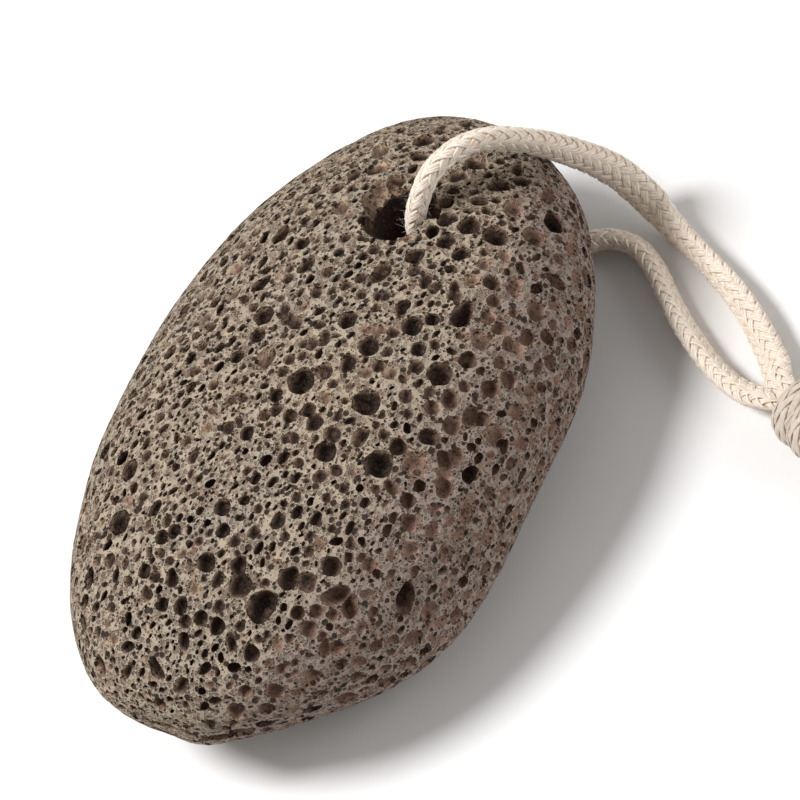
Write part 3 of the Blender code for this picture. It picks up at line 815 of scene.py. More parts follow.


# Bubbles given one by one. A round one is (a, b, across), a long one (a, b, long, wide, turn in degrees):
# on the crown by x and y, on the flank that faces -Y by x and z, on the blunt end by y and z.
bubblesByHand = {
    "crown": {
        "deep": [
            (-29, 13.2, 3.9), (-29.3, 4.6, 2.3), (-28, 3, 2.4), (-22.8, -2.8, 2.7), (-25.8, -4.4, 2.4),
            (-30.5, -4.1, 3), (-29.3, -8.9, 2.6), (-33, -14.2, 5, 4, -20), (-34, 0.3, 2.9, 2.1, 30),
            (-34.3, 5.2, 2.3), (-37.6, 0.4, 2.2), (-36.9, -2.6, 2.8, 2.2, 0), (-38.6, -4, 2.2),
            (-37.5, -6.2, 2.4), (-37.6, -8.9, 2.6), (-38.9, -14.6, 2.5), (-42.5, 14.3, 2.9, 1.5, 30),
            (-44, 4.2, 2.7, 1.7, -70), (-45.2, -1.2, 3.8, 1.9, 45), (-28.3, -16.3, 3.5, 3, -20),
            (-24.6, -20.9, 2.9), (-31.9, -19, 2.2), (-10.6, -13.4, 3.3), (-6, -22, 2.6), (-9.3, -20.9, 4.1),
            (-2, -15.3, 4.1), (-2.3, -4.5, 4.3), (-2.9, -24.8, 3.4, 2.4, -74), (-5.5, -2, 2.3),
            (-6, -8, 2.4), (-7.7, -5.8, 2.4), (8.4, -5.8, 3.2, 2.8, 10), (5.5, 7.5, 3.3), (2.5, 6.5, 2.6),
            (4.5, 23.3, 2.3), (-1.5, 7.8, 2.4), (-12, -0.8, 2.4), (18.6, 13.4, 3.6, 2.7, 0),
            (17.8, 8.5, 2.4), (28.3, 9.5, 2.4), (27.5, 13.5, 2.4), (31.6, 1.2, 3.1),
            (37.4, 1.2, 3.1, 2.2, -70), (40.5, 3, 3.2), (36.8, -12.4, 3.6, 2.8, -74), (31, -8, 2.6),
            (28.8, -7.2, 2.8), (33, -12, 2.8, 1.8, -74), (28.3, -9.9, 3.2, 2.6, -50), (28.5, -13.2, 3.4),
            (28.8, -17.3, 3.7), (21, -9.2, 3.1, 2.5, -40), (23.8, -15, 3, 2.3, -40),
            (15.3, -20.2, 4.6, 3, -5), (21.6, -21, 2.5), (13.2, -12.2, 2.7, 2, -40), (12.8, -17, 2.3),
            (10.9, -15, 3.2), (8, -17.6, 2.4), (5.8, -21.9, 3.7), (5.8, -11, 3.2), (9.4, -24, 2.7),
            (25.8, -22.5, 2.3, 1.6, 30), (-12, -26, 2.4), (31, 8.4, 2.1), (29.6, 4.9, 1.6), (28.8, 7.1, 1.5),
            (33.2, -7.5, 2), (24.8, -11.9, 2.9, 2.4, -40), (18, 1.8, 1.9, 1.5, -40), (18.5, -2.2, 1.6),
            (31.2, 11.9, 1.7, 1.2, -60), (33.7, 12.1, 2.1, 1.3, -45), (26.9, 5, 1.2),
        ],
        "open": [
            (-31.6, -10.2, 3.8), (-32.1, -6.7, 2.7, 2, 0), (-38.8, -11.5, 3.2, 1.7, 30),
            (-27, 4.9, 2.5, 1.6, 10), (-27.8, -18.8, 3), (-30.6, -21.2, 2.2), (-27.6, -22.8, 4.3, 2.8, -45),
            (-33.2, -24, 2.4), (-8, -13, 2.7), (-6.8, -16.9, 3.6, 2.2, -10), (-7.3, -9.8, 2.7),
            (-11.5, -23.6, 3, 1.7, 70), (0.9, -19.6, 2.2), (1, -23.3, 2.4), (3.2, -24.7, 3.2, 2.5, 30),
            (0, -26.6, 3), (2.6, -28, 3.1), (-14.5, -27.2, 2.6), (5.8, 1.8, 2.4), (6, 3.2, 2.3),
            (-12, 2.7, 2.3), (-5.2, 13.6, 2.7, 1.8, -70), (17, -6.2, 4, 2.9, -15), (23.3, 12.8, 2.3),
            (31.6, 8.7, 2.5), (33, 6.3, 2.4), (43.4, 2.4, 2.4), (36, -6.4, 3.4, 2.4, -20),
            (39.2, -7.2, 3.3), (25.6, -11.8, 2.3), (31.6, -21, 3.5), (19.2, -22.6, 2.3), (0.1, -7, 2.8),
            (2.5, -9.6, 3.2, 2.4, 20), (3.4, -2.8, 2.3), (5.5, -18.7, 2.4), (18.2, -12.9, 2.4, 1.8, -40),
            (18.6, -17.2, 2.3, 1.6, 20), (3.5, -14, 2.2), (14.5, -27, 2.4), (11.4, -27.4, 2.2),
            (-43.5, -16.5, 2.6), (14.6, 17.4, 2.2), (26, 17.5, 2.2), (16.5, 20.2, 2.1), (18.7, 18.7, 2),
            (21.8, 16.8, 1.8), (2, 15.5, 2), (0.3, 17.2, 1.7), (-0.6, 19.8, 1.6), (-1.2, 14.8, 1.8),
            (7.3, 12.5, 1.9), (6.4, 10, 1.7), (-6.5, 9, 1.8), (-18.9, 14, 1.9), (-22, 20, 1.9),
            (-18, 10.8, 1.6), (-28.5, 18.6, 1.7), (-26.4, 20.4, 1.7), (-31.5, 17.2, 1.8), (-36.2, 7.4, 1.8),
            (12, 7, 2), (11, 1.3, 2.1), (14.5, 1.5, 2), (31, 15.5, 2.2), (36.5, 13.5, 2), (9.6, 22, 2.2),
            (-8.6, 18, 1.8), (-13, 15.2, 1.7), (-14.5, 21.5, 2), (22, 22.2, 2.2), (-4, 24.2, 2),
            (20.6, 2.3, 2), (-40, 9, 1.7), (-43.3, 10.5, 1.8), (-24.8, 11, 1.7), (-8, 4.6, 2),
            (-26.5, 10.8, 1.3), (-26.6, -6.9, 1.9), (-28.2, -1.6, 1.5), (-28, -8, 1.2), (-31.4, 3.7, 1.7),
            (-32, 1.7, 1.6), (-34.6, 3.1, 2), (-35.3, -8.3, 2), (-36.5, -12.1, 1.7), (-43.3, 12.2, 1.3),
            (-45.6, 7.8, 1.2), (-46, 6.6, 1.2), (-32.5, 10, 1.2), (-34, 9, 1.4), (-31, 9, 1.1),
            (-30.2, -13.5, 1.5), (-37, -15, 1.4), (-36, -16, 1.3), (-35.2, -18.8, 1.5), (-33, -22.5, 1.6),
            (-30, -23, 1.8), (-32, -26.5, 2), (-44, -16, 1.3), (-47, -12, 2.2), (-44, -19, 1.6),
            (6.5, 4.5, 1.8), (3.5, 2.3, 1.2), (3.7, 1, 1), (0.2, -0.8, 2), (-1.8, -1, 2), (-7.3, 2.8, 1.7),
            (-10.5, 1.6, 1.5), (-8.7, -2, 2), (-7.5, -3.3, 2.2), (-11, -7, 1.6), (-1.3, -9.4, 1.6),
            (-3, -12.3, 1.2), (-5.5, -12.5, 1.5), (-5.3, -19.6, 1.8), (-4.5, -18, 1.3), (-1.2, -21, 1.6),
            (-12.7, -22, 1.5), (-12.5, -16, 2), (-13.5, -10.5, 1.8), (-10.5, -8, 2), (-14.3, -18, 1.7),
            (-16.5, -16.5, 1.6), (-16.2, -19.3, 1.5), (-20, -19, 1.4), (-18, -12.5, 1.7),
            (-23.5, -13.5, 1.6), (-22, -16.7, 1.3), (-24, -17.5, 1.7), (-20.8, -22, 1.6), (-21.7, -24, 1.6),
            (-21.5, -27.5, 1.4), (-3.5, -28.5, 2.6), (-8, -29, 2.8), (7.5, -28.5, 2), (6, -28, 1),
            (29.5, 17, 2), (21.2, 0, 1.6), (33.2, 10.2, 1.7), (36, -6.8, 2.5, 1.6, -70), (13.3, -2.4, 1.8),
            (12.8, -5.5, 1.8),
            (13.5, 7.8, 1.6), (7.5, 4.8, 1.8), (8.7, 6.3, 1.4), (6.5, -2, 1.8), (5.3, -3.8, 1.8),
            (3, -1.5, 1.6), (30.8, 3, 1.8), (32, -13.8, 1.8), (20.5, -12.5, 1.5), (17.8, -15, 1.6),
            (18.8, -10.5, 2.2), (20, -3, 2), (13.8, -9, 1.8), (25.5, -17.5, 1.5), (17.5, -17.8, 2.2),
            (17, -14.8, 1.6), (17.5, -13.3, 2), (9.5, -19.3, 1.8), (15.8, -25, 2.2), (10, -29, 2.6),
            (5.8, -25.5, 2), (19, -25.3, 1.6), (17, -28, 2.6), (21, -27, 3), (16, -30.5, 2.4),
            (3, -22, 1.8), (1.2, -2.4, 1.6), (4.3, -4.2, 2), (9, -13, 2), (3, -18, 1.4), (13.4, -8, 1.8),
            (11.5, -8.7, 1.6), (12, -12.5, 1.8),
        ],
        "shallow": [
            (-0.8, 3, 4.2, 3.2, 0), (-7, -24.9, 4.1), (12.3, 17.6, 2.9), (25.2, 6.6, 3), (37, 8, 4, 3, 30),
            (8.5, -10.9, 2.7), (2, -12.7, 2.4), (12.6, -21.8, 2.3), (13.2, -24.2, 3.6),
            (22.6, -23.6, 3.9, 3.1, 30), (34.3, -16.3, 3), (16.6, -23.2, 2.6), (-12.6, 6, 2.4),
            (-28.4, 8, 2.2), (-31.9, -1.5, 2.2), (-34.3, -3.6, 2.3), (-22.6, -18.2, 2.4),
            (20.6, -18.6, 2.6), (24, -18.6, 2.6), (-6.5, -28.3, 2.7), (-43.6, 7.2, 2.2), (23.6, -6.2, 2.2),
            (-26, 13, 1.6), (-36.5, -17.5, 2.2), (-6.8, 4.5, 2), (-0.7, -11.7, 1.8), (-3.4, -9.4, 2.4),
            (-11.8, -18.2, 1.5), (8, -9.5, 2.4), (26.5, -20, 2.2), (3.3, -15.8, 2.6),
            (33.4, 5.5, 4.1, 2.9, -50), (24.2, 4.4, 2.2, 1.9, -40),
        ],
        "window": [
            (-25.8, 1.3, 1.2), (-25.5, -1.6, 1.2), (-32, -17, 1.2), (-31.5, -23, 1.1), (-34, -26, 1.5),
            (-9.5, -26.5, 1.8), (-13.5, -20, 1.2), (-4.5, -30.5, 2.8, 2, 0), (3, -29, 2.2, 1.8, 0),
        ],
    },
    "flank": {
        "deep": [
            (27, 23.5, 3.6, 2, 90), (18.6, 23, 3, 1.9, 90), (7.4, 27.2, 2.6), (-4.6, 27.6, 3, 2.2, 60),
            (-23, 21.6, 4.8, 2.8, 25), (-28, 25.4, 3.4, 2.4, 20),
        ],
        "open": [
            (-34, 23.5, 3, 2, 20), (-41.5, 21.5, 2.8), (-7.6, 26.6, 2.5), (-22, 27, 2.2), (20.5, 18.5, 2.6),
            (4, 14, 2.7), (-20, 12.5, 2.5), (33.5, 14, 2.4), (12, 9.5, 2.9), (38, 19.5, 2, 1.3, 0),
            (14, 23, 2.6, 1.5, 0), (12, 21.5, 1.8), (17, 17.5, 2.5, 1.3, 0), (-7.5, 18.5, 1.4),
            (-7, 21, 1.3), (-34.5, 20.5, 2.4, 1.8, 0), (-28, 18.2, 1.8), (-30, 19.5, 2), (-33, 26, 2.6),
            (-45.5, 20.5, 2.8),
        ],
        "shallow": [
            (2.2, 24.6, 3.6), (6.8, 23.6, 2.9), (10.5, 22.6, 2.9), (-8.6, 22.6, 4.1, 3.3, 20),
            (-3.2, 18.6, 2.5), (-15, 21.3, 2.7), (-17.6, 25, 3), (21.5, 25.5, 2.9), (15, 26, 2.6),
            (-33, 19, 2.5),
        ],
        "window": [
            (1.5, 23, 2.2, 1.6, 0), (-2, 25, 1.8, 1.2, 0), (3, 18.5, 1.2), (0.5, 17.5, 2.6, 1.3, 0),
            (-1.8, 22.5, 1.8, 1.2, 0), (0, 26, 1), (-16, 15.5, 1.8), (-25.5, 20, 1.1), (-22.5, 26, 1.3),
        ],
    },
    "bluntEnd": {
        "deep": [
            (-8, 14.5, 6, 1.8, 5),
        ],
        "open": [
            (-13, 20, 2.5), (6, 16, 2.7), (-2, 21.5, 2.3),
        ],
        "shallow": [
            (11, 19, 2.6),
        ],
    },
}


def bodyPoint(direction):
    # where a direction from the middle meets the unpitted stone
    make = stoneMake
    x, y, z = direction
    plan = (abs(x) ** make["planPower"] + abs(y) ** make["planPower"]) ** (1 / make["planPower"])
    power = make["crownPower"] if z > 0 else make["bellyPower"]
    reach = (plan**power + abs(z) ** power) ** (-1 / power)
    x, y, z = x * reach, y * reach, z * reach
    bend = make["planBend"] * (x * x - 0.5)
    point = Vector((
        x * make["long"] / 2,
        y * (1 - make["bluntEnd"] * x) * make["wide"] / 2 + bend,
        z * make["high"] / 2 + make["high"] / 2 - make["seatWear"],
    ))
    facing = Vector(direction).normalized()
    lump = make["lumpHeight"] * noise.noise(point / make["lumpSpacing"])
    for side, height, spread in stoneSwells:
        away = (facing - Vector(side).normalized()).length
        lump += height * math.exp(-((away / spread) ** 2))
    lump += make["grit"] * noise.noise(point / make["gritSpacing"])
    point += facing * lump
    point.z = max(point.z, 0.0)
    return point + Vector(make["shift"])


def growBody():
    deselectAll()
    bpy.ops.mesh.primitive_ico_sphere_add(subdivisions=stoneMake["bodySteps"], radius=1.0)
    body = bpy.context.object
    body.name = "pumiceStone"
    for vertex in body.data.vertices:
        vertex.co = bodyPoint(vertex.co) * mm
    body.data.update()
    return body


def bodyTree(body):
    points = [vertex.co / mm for vertex in body.data.vertices]
    return BVHTree.FromPolygons(points, [tuple(face.vertices) for face in body.data.polygons])


def bubbleAt(point, normal, along, row, depth):
    # one bubble: its middle, its three axes and its half sizes, worked out from its opening
    long, wide, turn = (row[2], row[2], 0.0) if len(row) == 3 else row[2:]
    normal = normal.normalized()
    length = (along - normal * along.dot(normal)).normalized()
    length = Matrix.Rotation(math.radians(turn), 3, normal) @ length
    breadth = normal.cross(length)
    sink = 2 * depth - 1
    wider = 1 / math.sqrt(1 - sink * sink)
    tall = (long + wide) / 4 * wider
    return {
        "middle": np.array(point - normal * (sink * tall)),
        "axes": np.array((length, breadth, normal)),
        "half": np.array((long / 2 * wider, wide / 2 * wider, tall)),
        "mouth": np.array(point),
        "across": (long + wide) / 2,
        "reach": max(long, wide) / 2 * wider,
    }


def handBubbles(tree):
    high, away = 2 * stoneMake["high"], stoneMake["long"]
    start = {
        "crown": lambda a, b: ((a, b, high), (0, 0, -1), (1, 0, 0)),
        "flank": lambda a, b: ((a, -away, b), (0, 1, 0), (1, 0, 0)),
        "bluntEnd": lambda a, b: ((-away, a, b), (1, 0, 0), (0, 1, 0)),
    }
    found = []
    for side, kinds in bubblesByHand.items():
        for kind, rows in kinds.items():
            for row in rows:
                begin, towards, along = start[side](row[0], row[1])
                point, normal, _, _ = tree.ray_cast(Vector(begin), Vector(towards))
                if point is not None:
                    found.append(bubbleAt(point, normal, Vector(along), row, bubbleMake["depths"][kind]))
    return found


def surfaceSpots(body, amount, chance):
    # points spread evenly over the body, each with the way its face looks
    mesh = body.data
    points = meshPoints(mesh) / mm
    mesh.calc_loop_triangles()
    corners = np.zeros(len(mesh.loop_triangles) * 3, np.int32)
    mesh.loop_triangles.foreach_get("vertices", corners)
    a, b, c = (points[corners.reshape(-1, 3)[:, corner]] for corner in range(3))
    cross = np.cross(b - a, c - a)
    area = np.linalg.norm(cross, axis=1)
    pick = chance.choice(len(area), amount, p=area / area.sum())
    u, v = chance.random((2, amount, 1))
    flip = u + v > 1
    u, v = np.where(flip, 1 - u, u), np.where(flip, 1 - v, v)
    spots = a[pick] + u * (b[pick] - a[pick]) + v * (c[pick] - a[pick])
    return spots, cross[pick] / area[pick][:, None]


def keptClear(spot, normal):
    # the seat and the worn mouths of the hole stay free of random bubbles
    halfX, halfY = scatterMake["seatClear"]
    if spot[2] < 0.6 and abs(spot[0]) < halfX and abs(spot[1]) < halfY:
        return True
    clear = scatterMake["mouthClear"] if normal[2] > 0 else scatterMake["lowerMouthClear"]
    return math.hypot(spot[0] - holeMake["x"], spot[1] - holeMake["y"]) < clear and abs(normal[2]) > 0.5


def scatteredBubbles(body, placed):
    make = scatterMake
    chance = np.random.default_rng(bubbleMake["seed"])
    tries = make["amount"] * make["tries"]
    spots, normals = surfaceSpots(body, tries, chance)
    sizes = make["middleSize"] * np.exp(chance.normal(0.0, make["sizeSpread"], tries))
    for (x, y), radius in make["fineSpots"]:
        near = (np.hypot(spots[:, 0] - x, spots[:, 1] - y) < radius) & (normals[:, 2] > 0.3)
        sizes = np.where(near, sizes * make["fineShare"], sizes)
    flanks = (normals[:, 1] < -0.35) & (np.abs(normals[:, 2]) < 0.75)
    sizes = np.where(flanks, sizes * make["flankShare"], sizes)
    sizes = np.clip(sizes, make["smallest"], make["largest"])
    order = np.argsort(-sizes)
    mouths = np.array([bubble["mouth"] for bubble in placed] + [(0.0, 0.0, 0.0)] * make["amount"])
    across = np.array([bubble["across"] for bubble in placed] + [0.0] * make["amount"])
    count = len(placed)
    found = []
    # the larger ones tend to come first, but some small ones are placed before them and keep their room
    early = make["sizeFirst"] * np.linspace(1.0, 0.0, tries)
    chosen = order[np.argsort(chance.random(tries) - early, kind="stable")]
    for index in chosen:
        if len(found) >= make["amount"]:
            break
        spot, normal = spots[index], normals[index]
        away = normal[2] < -0.2 or normal[1] > 0.5
        if keptClear(spot, normal) or (away and sizes[index] < make["smallestAway"]):
            continue
        far = np.linalg.norm(mouths[:count] - spot, axis=1)
        if (far < (across[:count] + sizes[index]) / 2 * bubbleMake["spacing"]).any():
            continue
        flank = flanks[index]
        wider = make["flankWider"] if flank else 0.0
        wide = sizes[index] * (chance.uniform(make["narrowest"], make["widest"]) + wider)
        turn = chance.normal(bubbleMake["flowTurn"], bubbleMake["flowSpread"])
        kind = chance.random()
        depth = depthFor(kind, flank)
        along = Vector((0, 1, 0)) if abs(normal[0]) > 0.8 else Vector((1, 0, 0))
        row = (0, 0, sizes[index], wide, turn)
        found.append(bubbleAt(Vector(spot), Vector(normal), along, row, depth))
        mouths[count], across[count] = spot, (sizes[index] + wide) / 2
        count += 1
    return found


def depthFor(kind, flank):
    # the worn flank has more shallow bubbles than the crown
    depths = bubbleMake["depths"]
    shallow = scatterMake["shallowOnFlank"] if flank else scatterMake["shallowOnCrown"]
    if kind < shallow:
        return depths["shallow"]
    if kind < shallow + scatterMake["openShare"]:
        return depths["open"]
    if kind < scatterMake["deepUpTo"]:
        return depths["deep"]
    return depths["window"]


def bubbleShapes(steps):
    # one ball, modelled once, and its uneven variants
    deselectAll()
    bpy.ops.mesh.primitive_ico_sphere_add(subdivisions=steps, radius=1.0)
    ball = bpy.context.object
    points = meshPoints(ball.data)
    faces = [tuple(face.vertices) for face in ball.data.polygons]
    variants = []
    for number in range(bubbleMake["variants"]):
        seed = Vector((number * 7.7, steps * 3.3, 1.5))
        swell = [1 + bubbleMake["uneven"] * noise.noise(Vector(point) * 1.3 + seed) for point in points]
        variants.append(points * np.array(swell)[:, None])
    bpy.data.objects.remove(ball)
    return variants, faces


def inBatches(bubbles):
    # groups of bubbles that don't touch one another, so that each group is one clean cutter
    groups = []
    for bubble in sorted(bubbles, key=lambda one: -one["reach"]):
        for group in groups:
            middles, reaches = group["middles"], group["reaches"]
            far = np.linalg.norm(np.array(middles) - bubble["middle"], axis=1)
            if (far > (np.array(reaches) + bubble["reach"]) * (1 + bubbleMake["uneven"])).all():
                break
        else:
            group = {"middles": [], "reaches": [], "bubbles": []}
            groups.append(group)
        group["middles"].append(bubble["middle"])
        group["reaches"].append(bubble["reach"])
        group["bubbles"].append(bubble)
    return [group["bubbles"] for group in groups]


def batchCutter(number, bubbles, shapes):
    points, faces = [], []
    count = 0
    for index, bubble in enumerate(bubbles):
        detail = int(bubble["across"] >= bubbleMake["small"]) + int(bubble["across"] >= bubbleMake["large"])
        variants, sides = shapes[detail]
        ball = variants[(index * 5 + number) % len(variants)] * bubble["half"]
        points.append(ball @ bubble["axes"] + bubble["middle"])
        faces += [tuple(corner + count for corner in side) for side in sides]
        count += len(ball)
    return newMesh(f"bubbleBatch{number}", np.concatenate(points) * mm, faces)


def cutAway(stone, cutter):
    makeActive(stone)
    cut = stone.modifiers.new("cut", "BOOLEAN")
    cut.operation = "DIFFERENCE"
    cut.solver = "MANIFOLD"
    cut.object = cutter
    bpy.ops.object.modifier_apply(modifier=cut.name)
    bpy.data.objects.remove(cutter)


def holeProfile(top):
    # the hole as (radius, height), a bore that flares at both worn mouths
    bore = holeMake["across"] / 2
    upper, lower = holeMake["upperAcross"] / 2, holeMake["lowerAcross"] / 2
    upperDepth, lowerDepth = holeMake["upperDepth"], holeMake["lowerDepth"]
    return [
        (0.0, top + upperDepth),
        (2 * upper - bore, top + upperDepth),
        (upper + 0.35, top + 0.3),
        (upper - 0.1, top - upperDepth * 0.15),
        (bore + 0.3, top - upperDepth / 2),
        (bore, top - upperDepth),
        (bore, lowerDepth),
        (bore + 0.8, lowerDepth * 0.72),
        (bore + 2.3, lowerDepth * 0.46),
        (lower, lowerDepth * 0.22),
        (lower + 2.5, -1.0),
        (0.0, -1.0),
    ]


def drillHole(stone, tree):
    start = Vector((holeMake["x"], holeMake["y"], 2 * stoneMake["high"]))
    point, _, _, _ = tree.ray_cast(start, Vector((0, 0, -1)))
    profile = holeProfile(point.z)
    edges = [(number, number + 1) for number in range(len(profile) - 1)]
    mesh = bpy.data.meshes.new("bore")
    mesh.from_pydata([(radius * mm, 0.0, height * mm) for radius, height in profile], edges, [])
    bore = bpy.data.objects.new("bore", mesh)
    bpy.context.scene.collection.objects.link(bore)
    makeActive(bore)
    bpy.ops.object.mode_set(mode="EDIT")
    bpy.ops.mesh.select_all(action="SELECT")
    bpy.ops.mesh.spin(steps=holeMake["sides"], angle=2 * math.pi, center=(0, 0, 0), axis=(0, 0, 1))
    bpy.ops.mesh.select_all(action="SELECT")
    bpy.ops.mesh.remove_doubles(threshold=0.00001)
    bpy.ops.mesh.normals_make_consistent(inside=False)
    bpy.ops.object.mode_set(mode="OBJECT")
    points = meshPoints(bore.data)
    for index, spot in enumerate(points):
        worn = 1 + holeMake["uneven"] * noise.noise(Vector(spot) / (holeMake["unevenSize"] * mm))
        points[index] = (spot[0] * worn + holeMake["x"] * mm, spot[1] * worn + holeMake["y"] * mm, spot[2])
    setPoints(bore.data, points)
    cutAway(stone, bore)


def wearMouths(stone, tree, shapes):
    # the chip beside the upper mouth, and the grooves that the cord has worn in both
    row = holeMake["chip"]
    start = Vector((row[0], row[1], 2 * stoneMake["high"]))
    point, normal, _, _ = tree.ray_cast(start, Vector((0, 0, -1)))
    worn = [bubbleAt(point, normal, Vector((1, 0, 0)), row, holeMake["chipDepth"])]
    for middle, half, degrees in holeMake["wear"]:
        turned = Matrix.Rotation(math.radians(degrees), 3, "Z").transposed()
        worn.append({**worn[0], "middle": np.array(middle), "axes": np.array(turned), "half": np.array(half)})
    for number, one in enumerate(worn):
        cutAway(stone, batchCutter(number, [one], shapes))


def thinOut(stone, most):
    # slivers along the rims go first, so the bubbles keep their shapes
    makeActive(stone)
    thin = stone.modifiers.new("thin", "DECIMATE")
    thin.ratio = min(1.0, most / triangleCount(stone))
    bpy.ops.object.modifier_apply(modifier=thin.name)


def pinchedEdges(stone, **kinds):
    # selects the edges that don't join exactly two faces, in edit mode
    bpy.ops.mesh.select_mode(type="EDGE")
    bpy.ops.mesh.select_all(action="DESELECT")
    bpy.ops.mesh.select_non_manifold(extend=False, **kinds)
    stone.update_from_editmode()
    return stone.data.total_edge_sel


def closeAgain(stone, rounds=6):
    # thinning pinches a few rims: the pinched faces are cut out and the gaps filled until the skin is closed
    makeActive(stone)
    bpy.ops.object.mode_set(mode="EDIT")
    for _ in range(rounds):
        if not pinchedEdges(stone):
            break
        bpy.ops.mesh.select_more()
        bpy.ops.mesh.delete(type="FACE")
        wireOnly = {"use_boundary": False, "use_multi_face": False}
        if pinchedEdges(stone, use_non_contiguous=False, use_verts=False, **wireOnly):
            bpy.ops.mesh.delete(type="EDGE")
        bpy.ops.mesh.select_all(action="SELECT")
        bpy.ops.mesh.fill_holes(sides=0)
        bpy.ops.mesh.select_all(action="SELECT")
        bpy.ops.mesh.quads_convert_to_tris()
    bpy.ops.object.mode_set(mode="OBJECT")


def markDepth(stone, tree, bubbles):
    # how far each point lies under the ground face and that depth as a share of its bubble's width, which set
    # the painted shade in the bubbles, how far it is round on the flank, and a tint that differs from bubble
    # to bubble
    places = KDTree(len(bubbles))
    for index, bubble in enumerate(bubbles):
        places.insert(bubble["middle"], index)
    places.balance()
    reaches = [bubble["reach"] for bubble in bubbles]
    widths = [bubble["across"] for bubble in bubbles]
    chance = random.Random(bubbleMake["seed"])
    tints = [chance.random() for _ in bubbles]
    points = meshPoints(stone.data) / mm
    depths, sunken, flank, tint = np.zeros((4, len(points)))
    chipX, chipY, chipAcross = holeMake["chip"][:3]
    for index, spot in enumerate(points):
        _, normal, _, depth = tree.find_nearest(Vector(spot))
        depths[index] = depth
        flank[index] = -normal.y
        if depth > 0.02:
            near = places.find_n(spot, 4)
            best = min(near, key=lambda one: abs(one[2] / reaches[one[1]] - 1))
            tint[index] = tints[best[1]]
            sunken[index] = min(1.0, depth / widths[best[1]])
    # the chip is fresher and paler than the bubbles' skins, and gets less of the painted shade and brown that
    # deepen with depth
    onChip = np.hypot(points[:, 0] - chipX, points[:, 1] - chipY) < chipAcross / 2 + 0.5
    fromHole = np.hypot(points[:, 0] - holeMake["x"], points[:, 1] - holeMake["y"])
    onChip &= fromHole > holeMake["upperAcross"] / 2 - 0.3
    onChip &= (depths < holeMake["chipDeepest"]) & (points[:, 2] > stoneMake["high"] / 2)
    depths = np.where(onChip, depths * holeMake["chipDepthShare"], depths)
    sunken = np.where(onChip, np.minimum(sunken, holeMake["chipSunken"]), sunken)
    pointAttribute(stone.data, "depth", depths)
    pointAttribute(stone.data, "sunken", sunken)
    pointAttribute(stone.data, "flank", flank)
    pointAttribute(stone.data, "tint", tint)


def smoothByAngle(piece, degrees):
    makeActive(piece)
    bpy.ops.object.shade_smooth_by_angle(angle=math.radians(degrees))


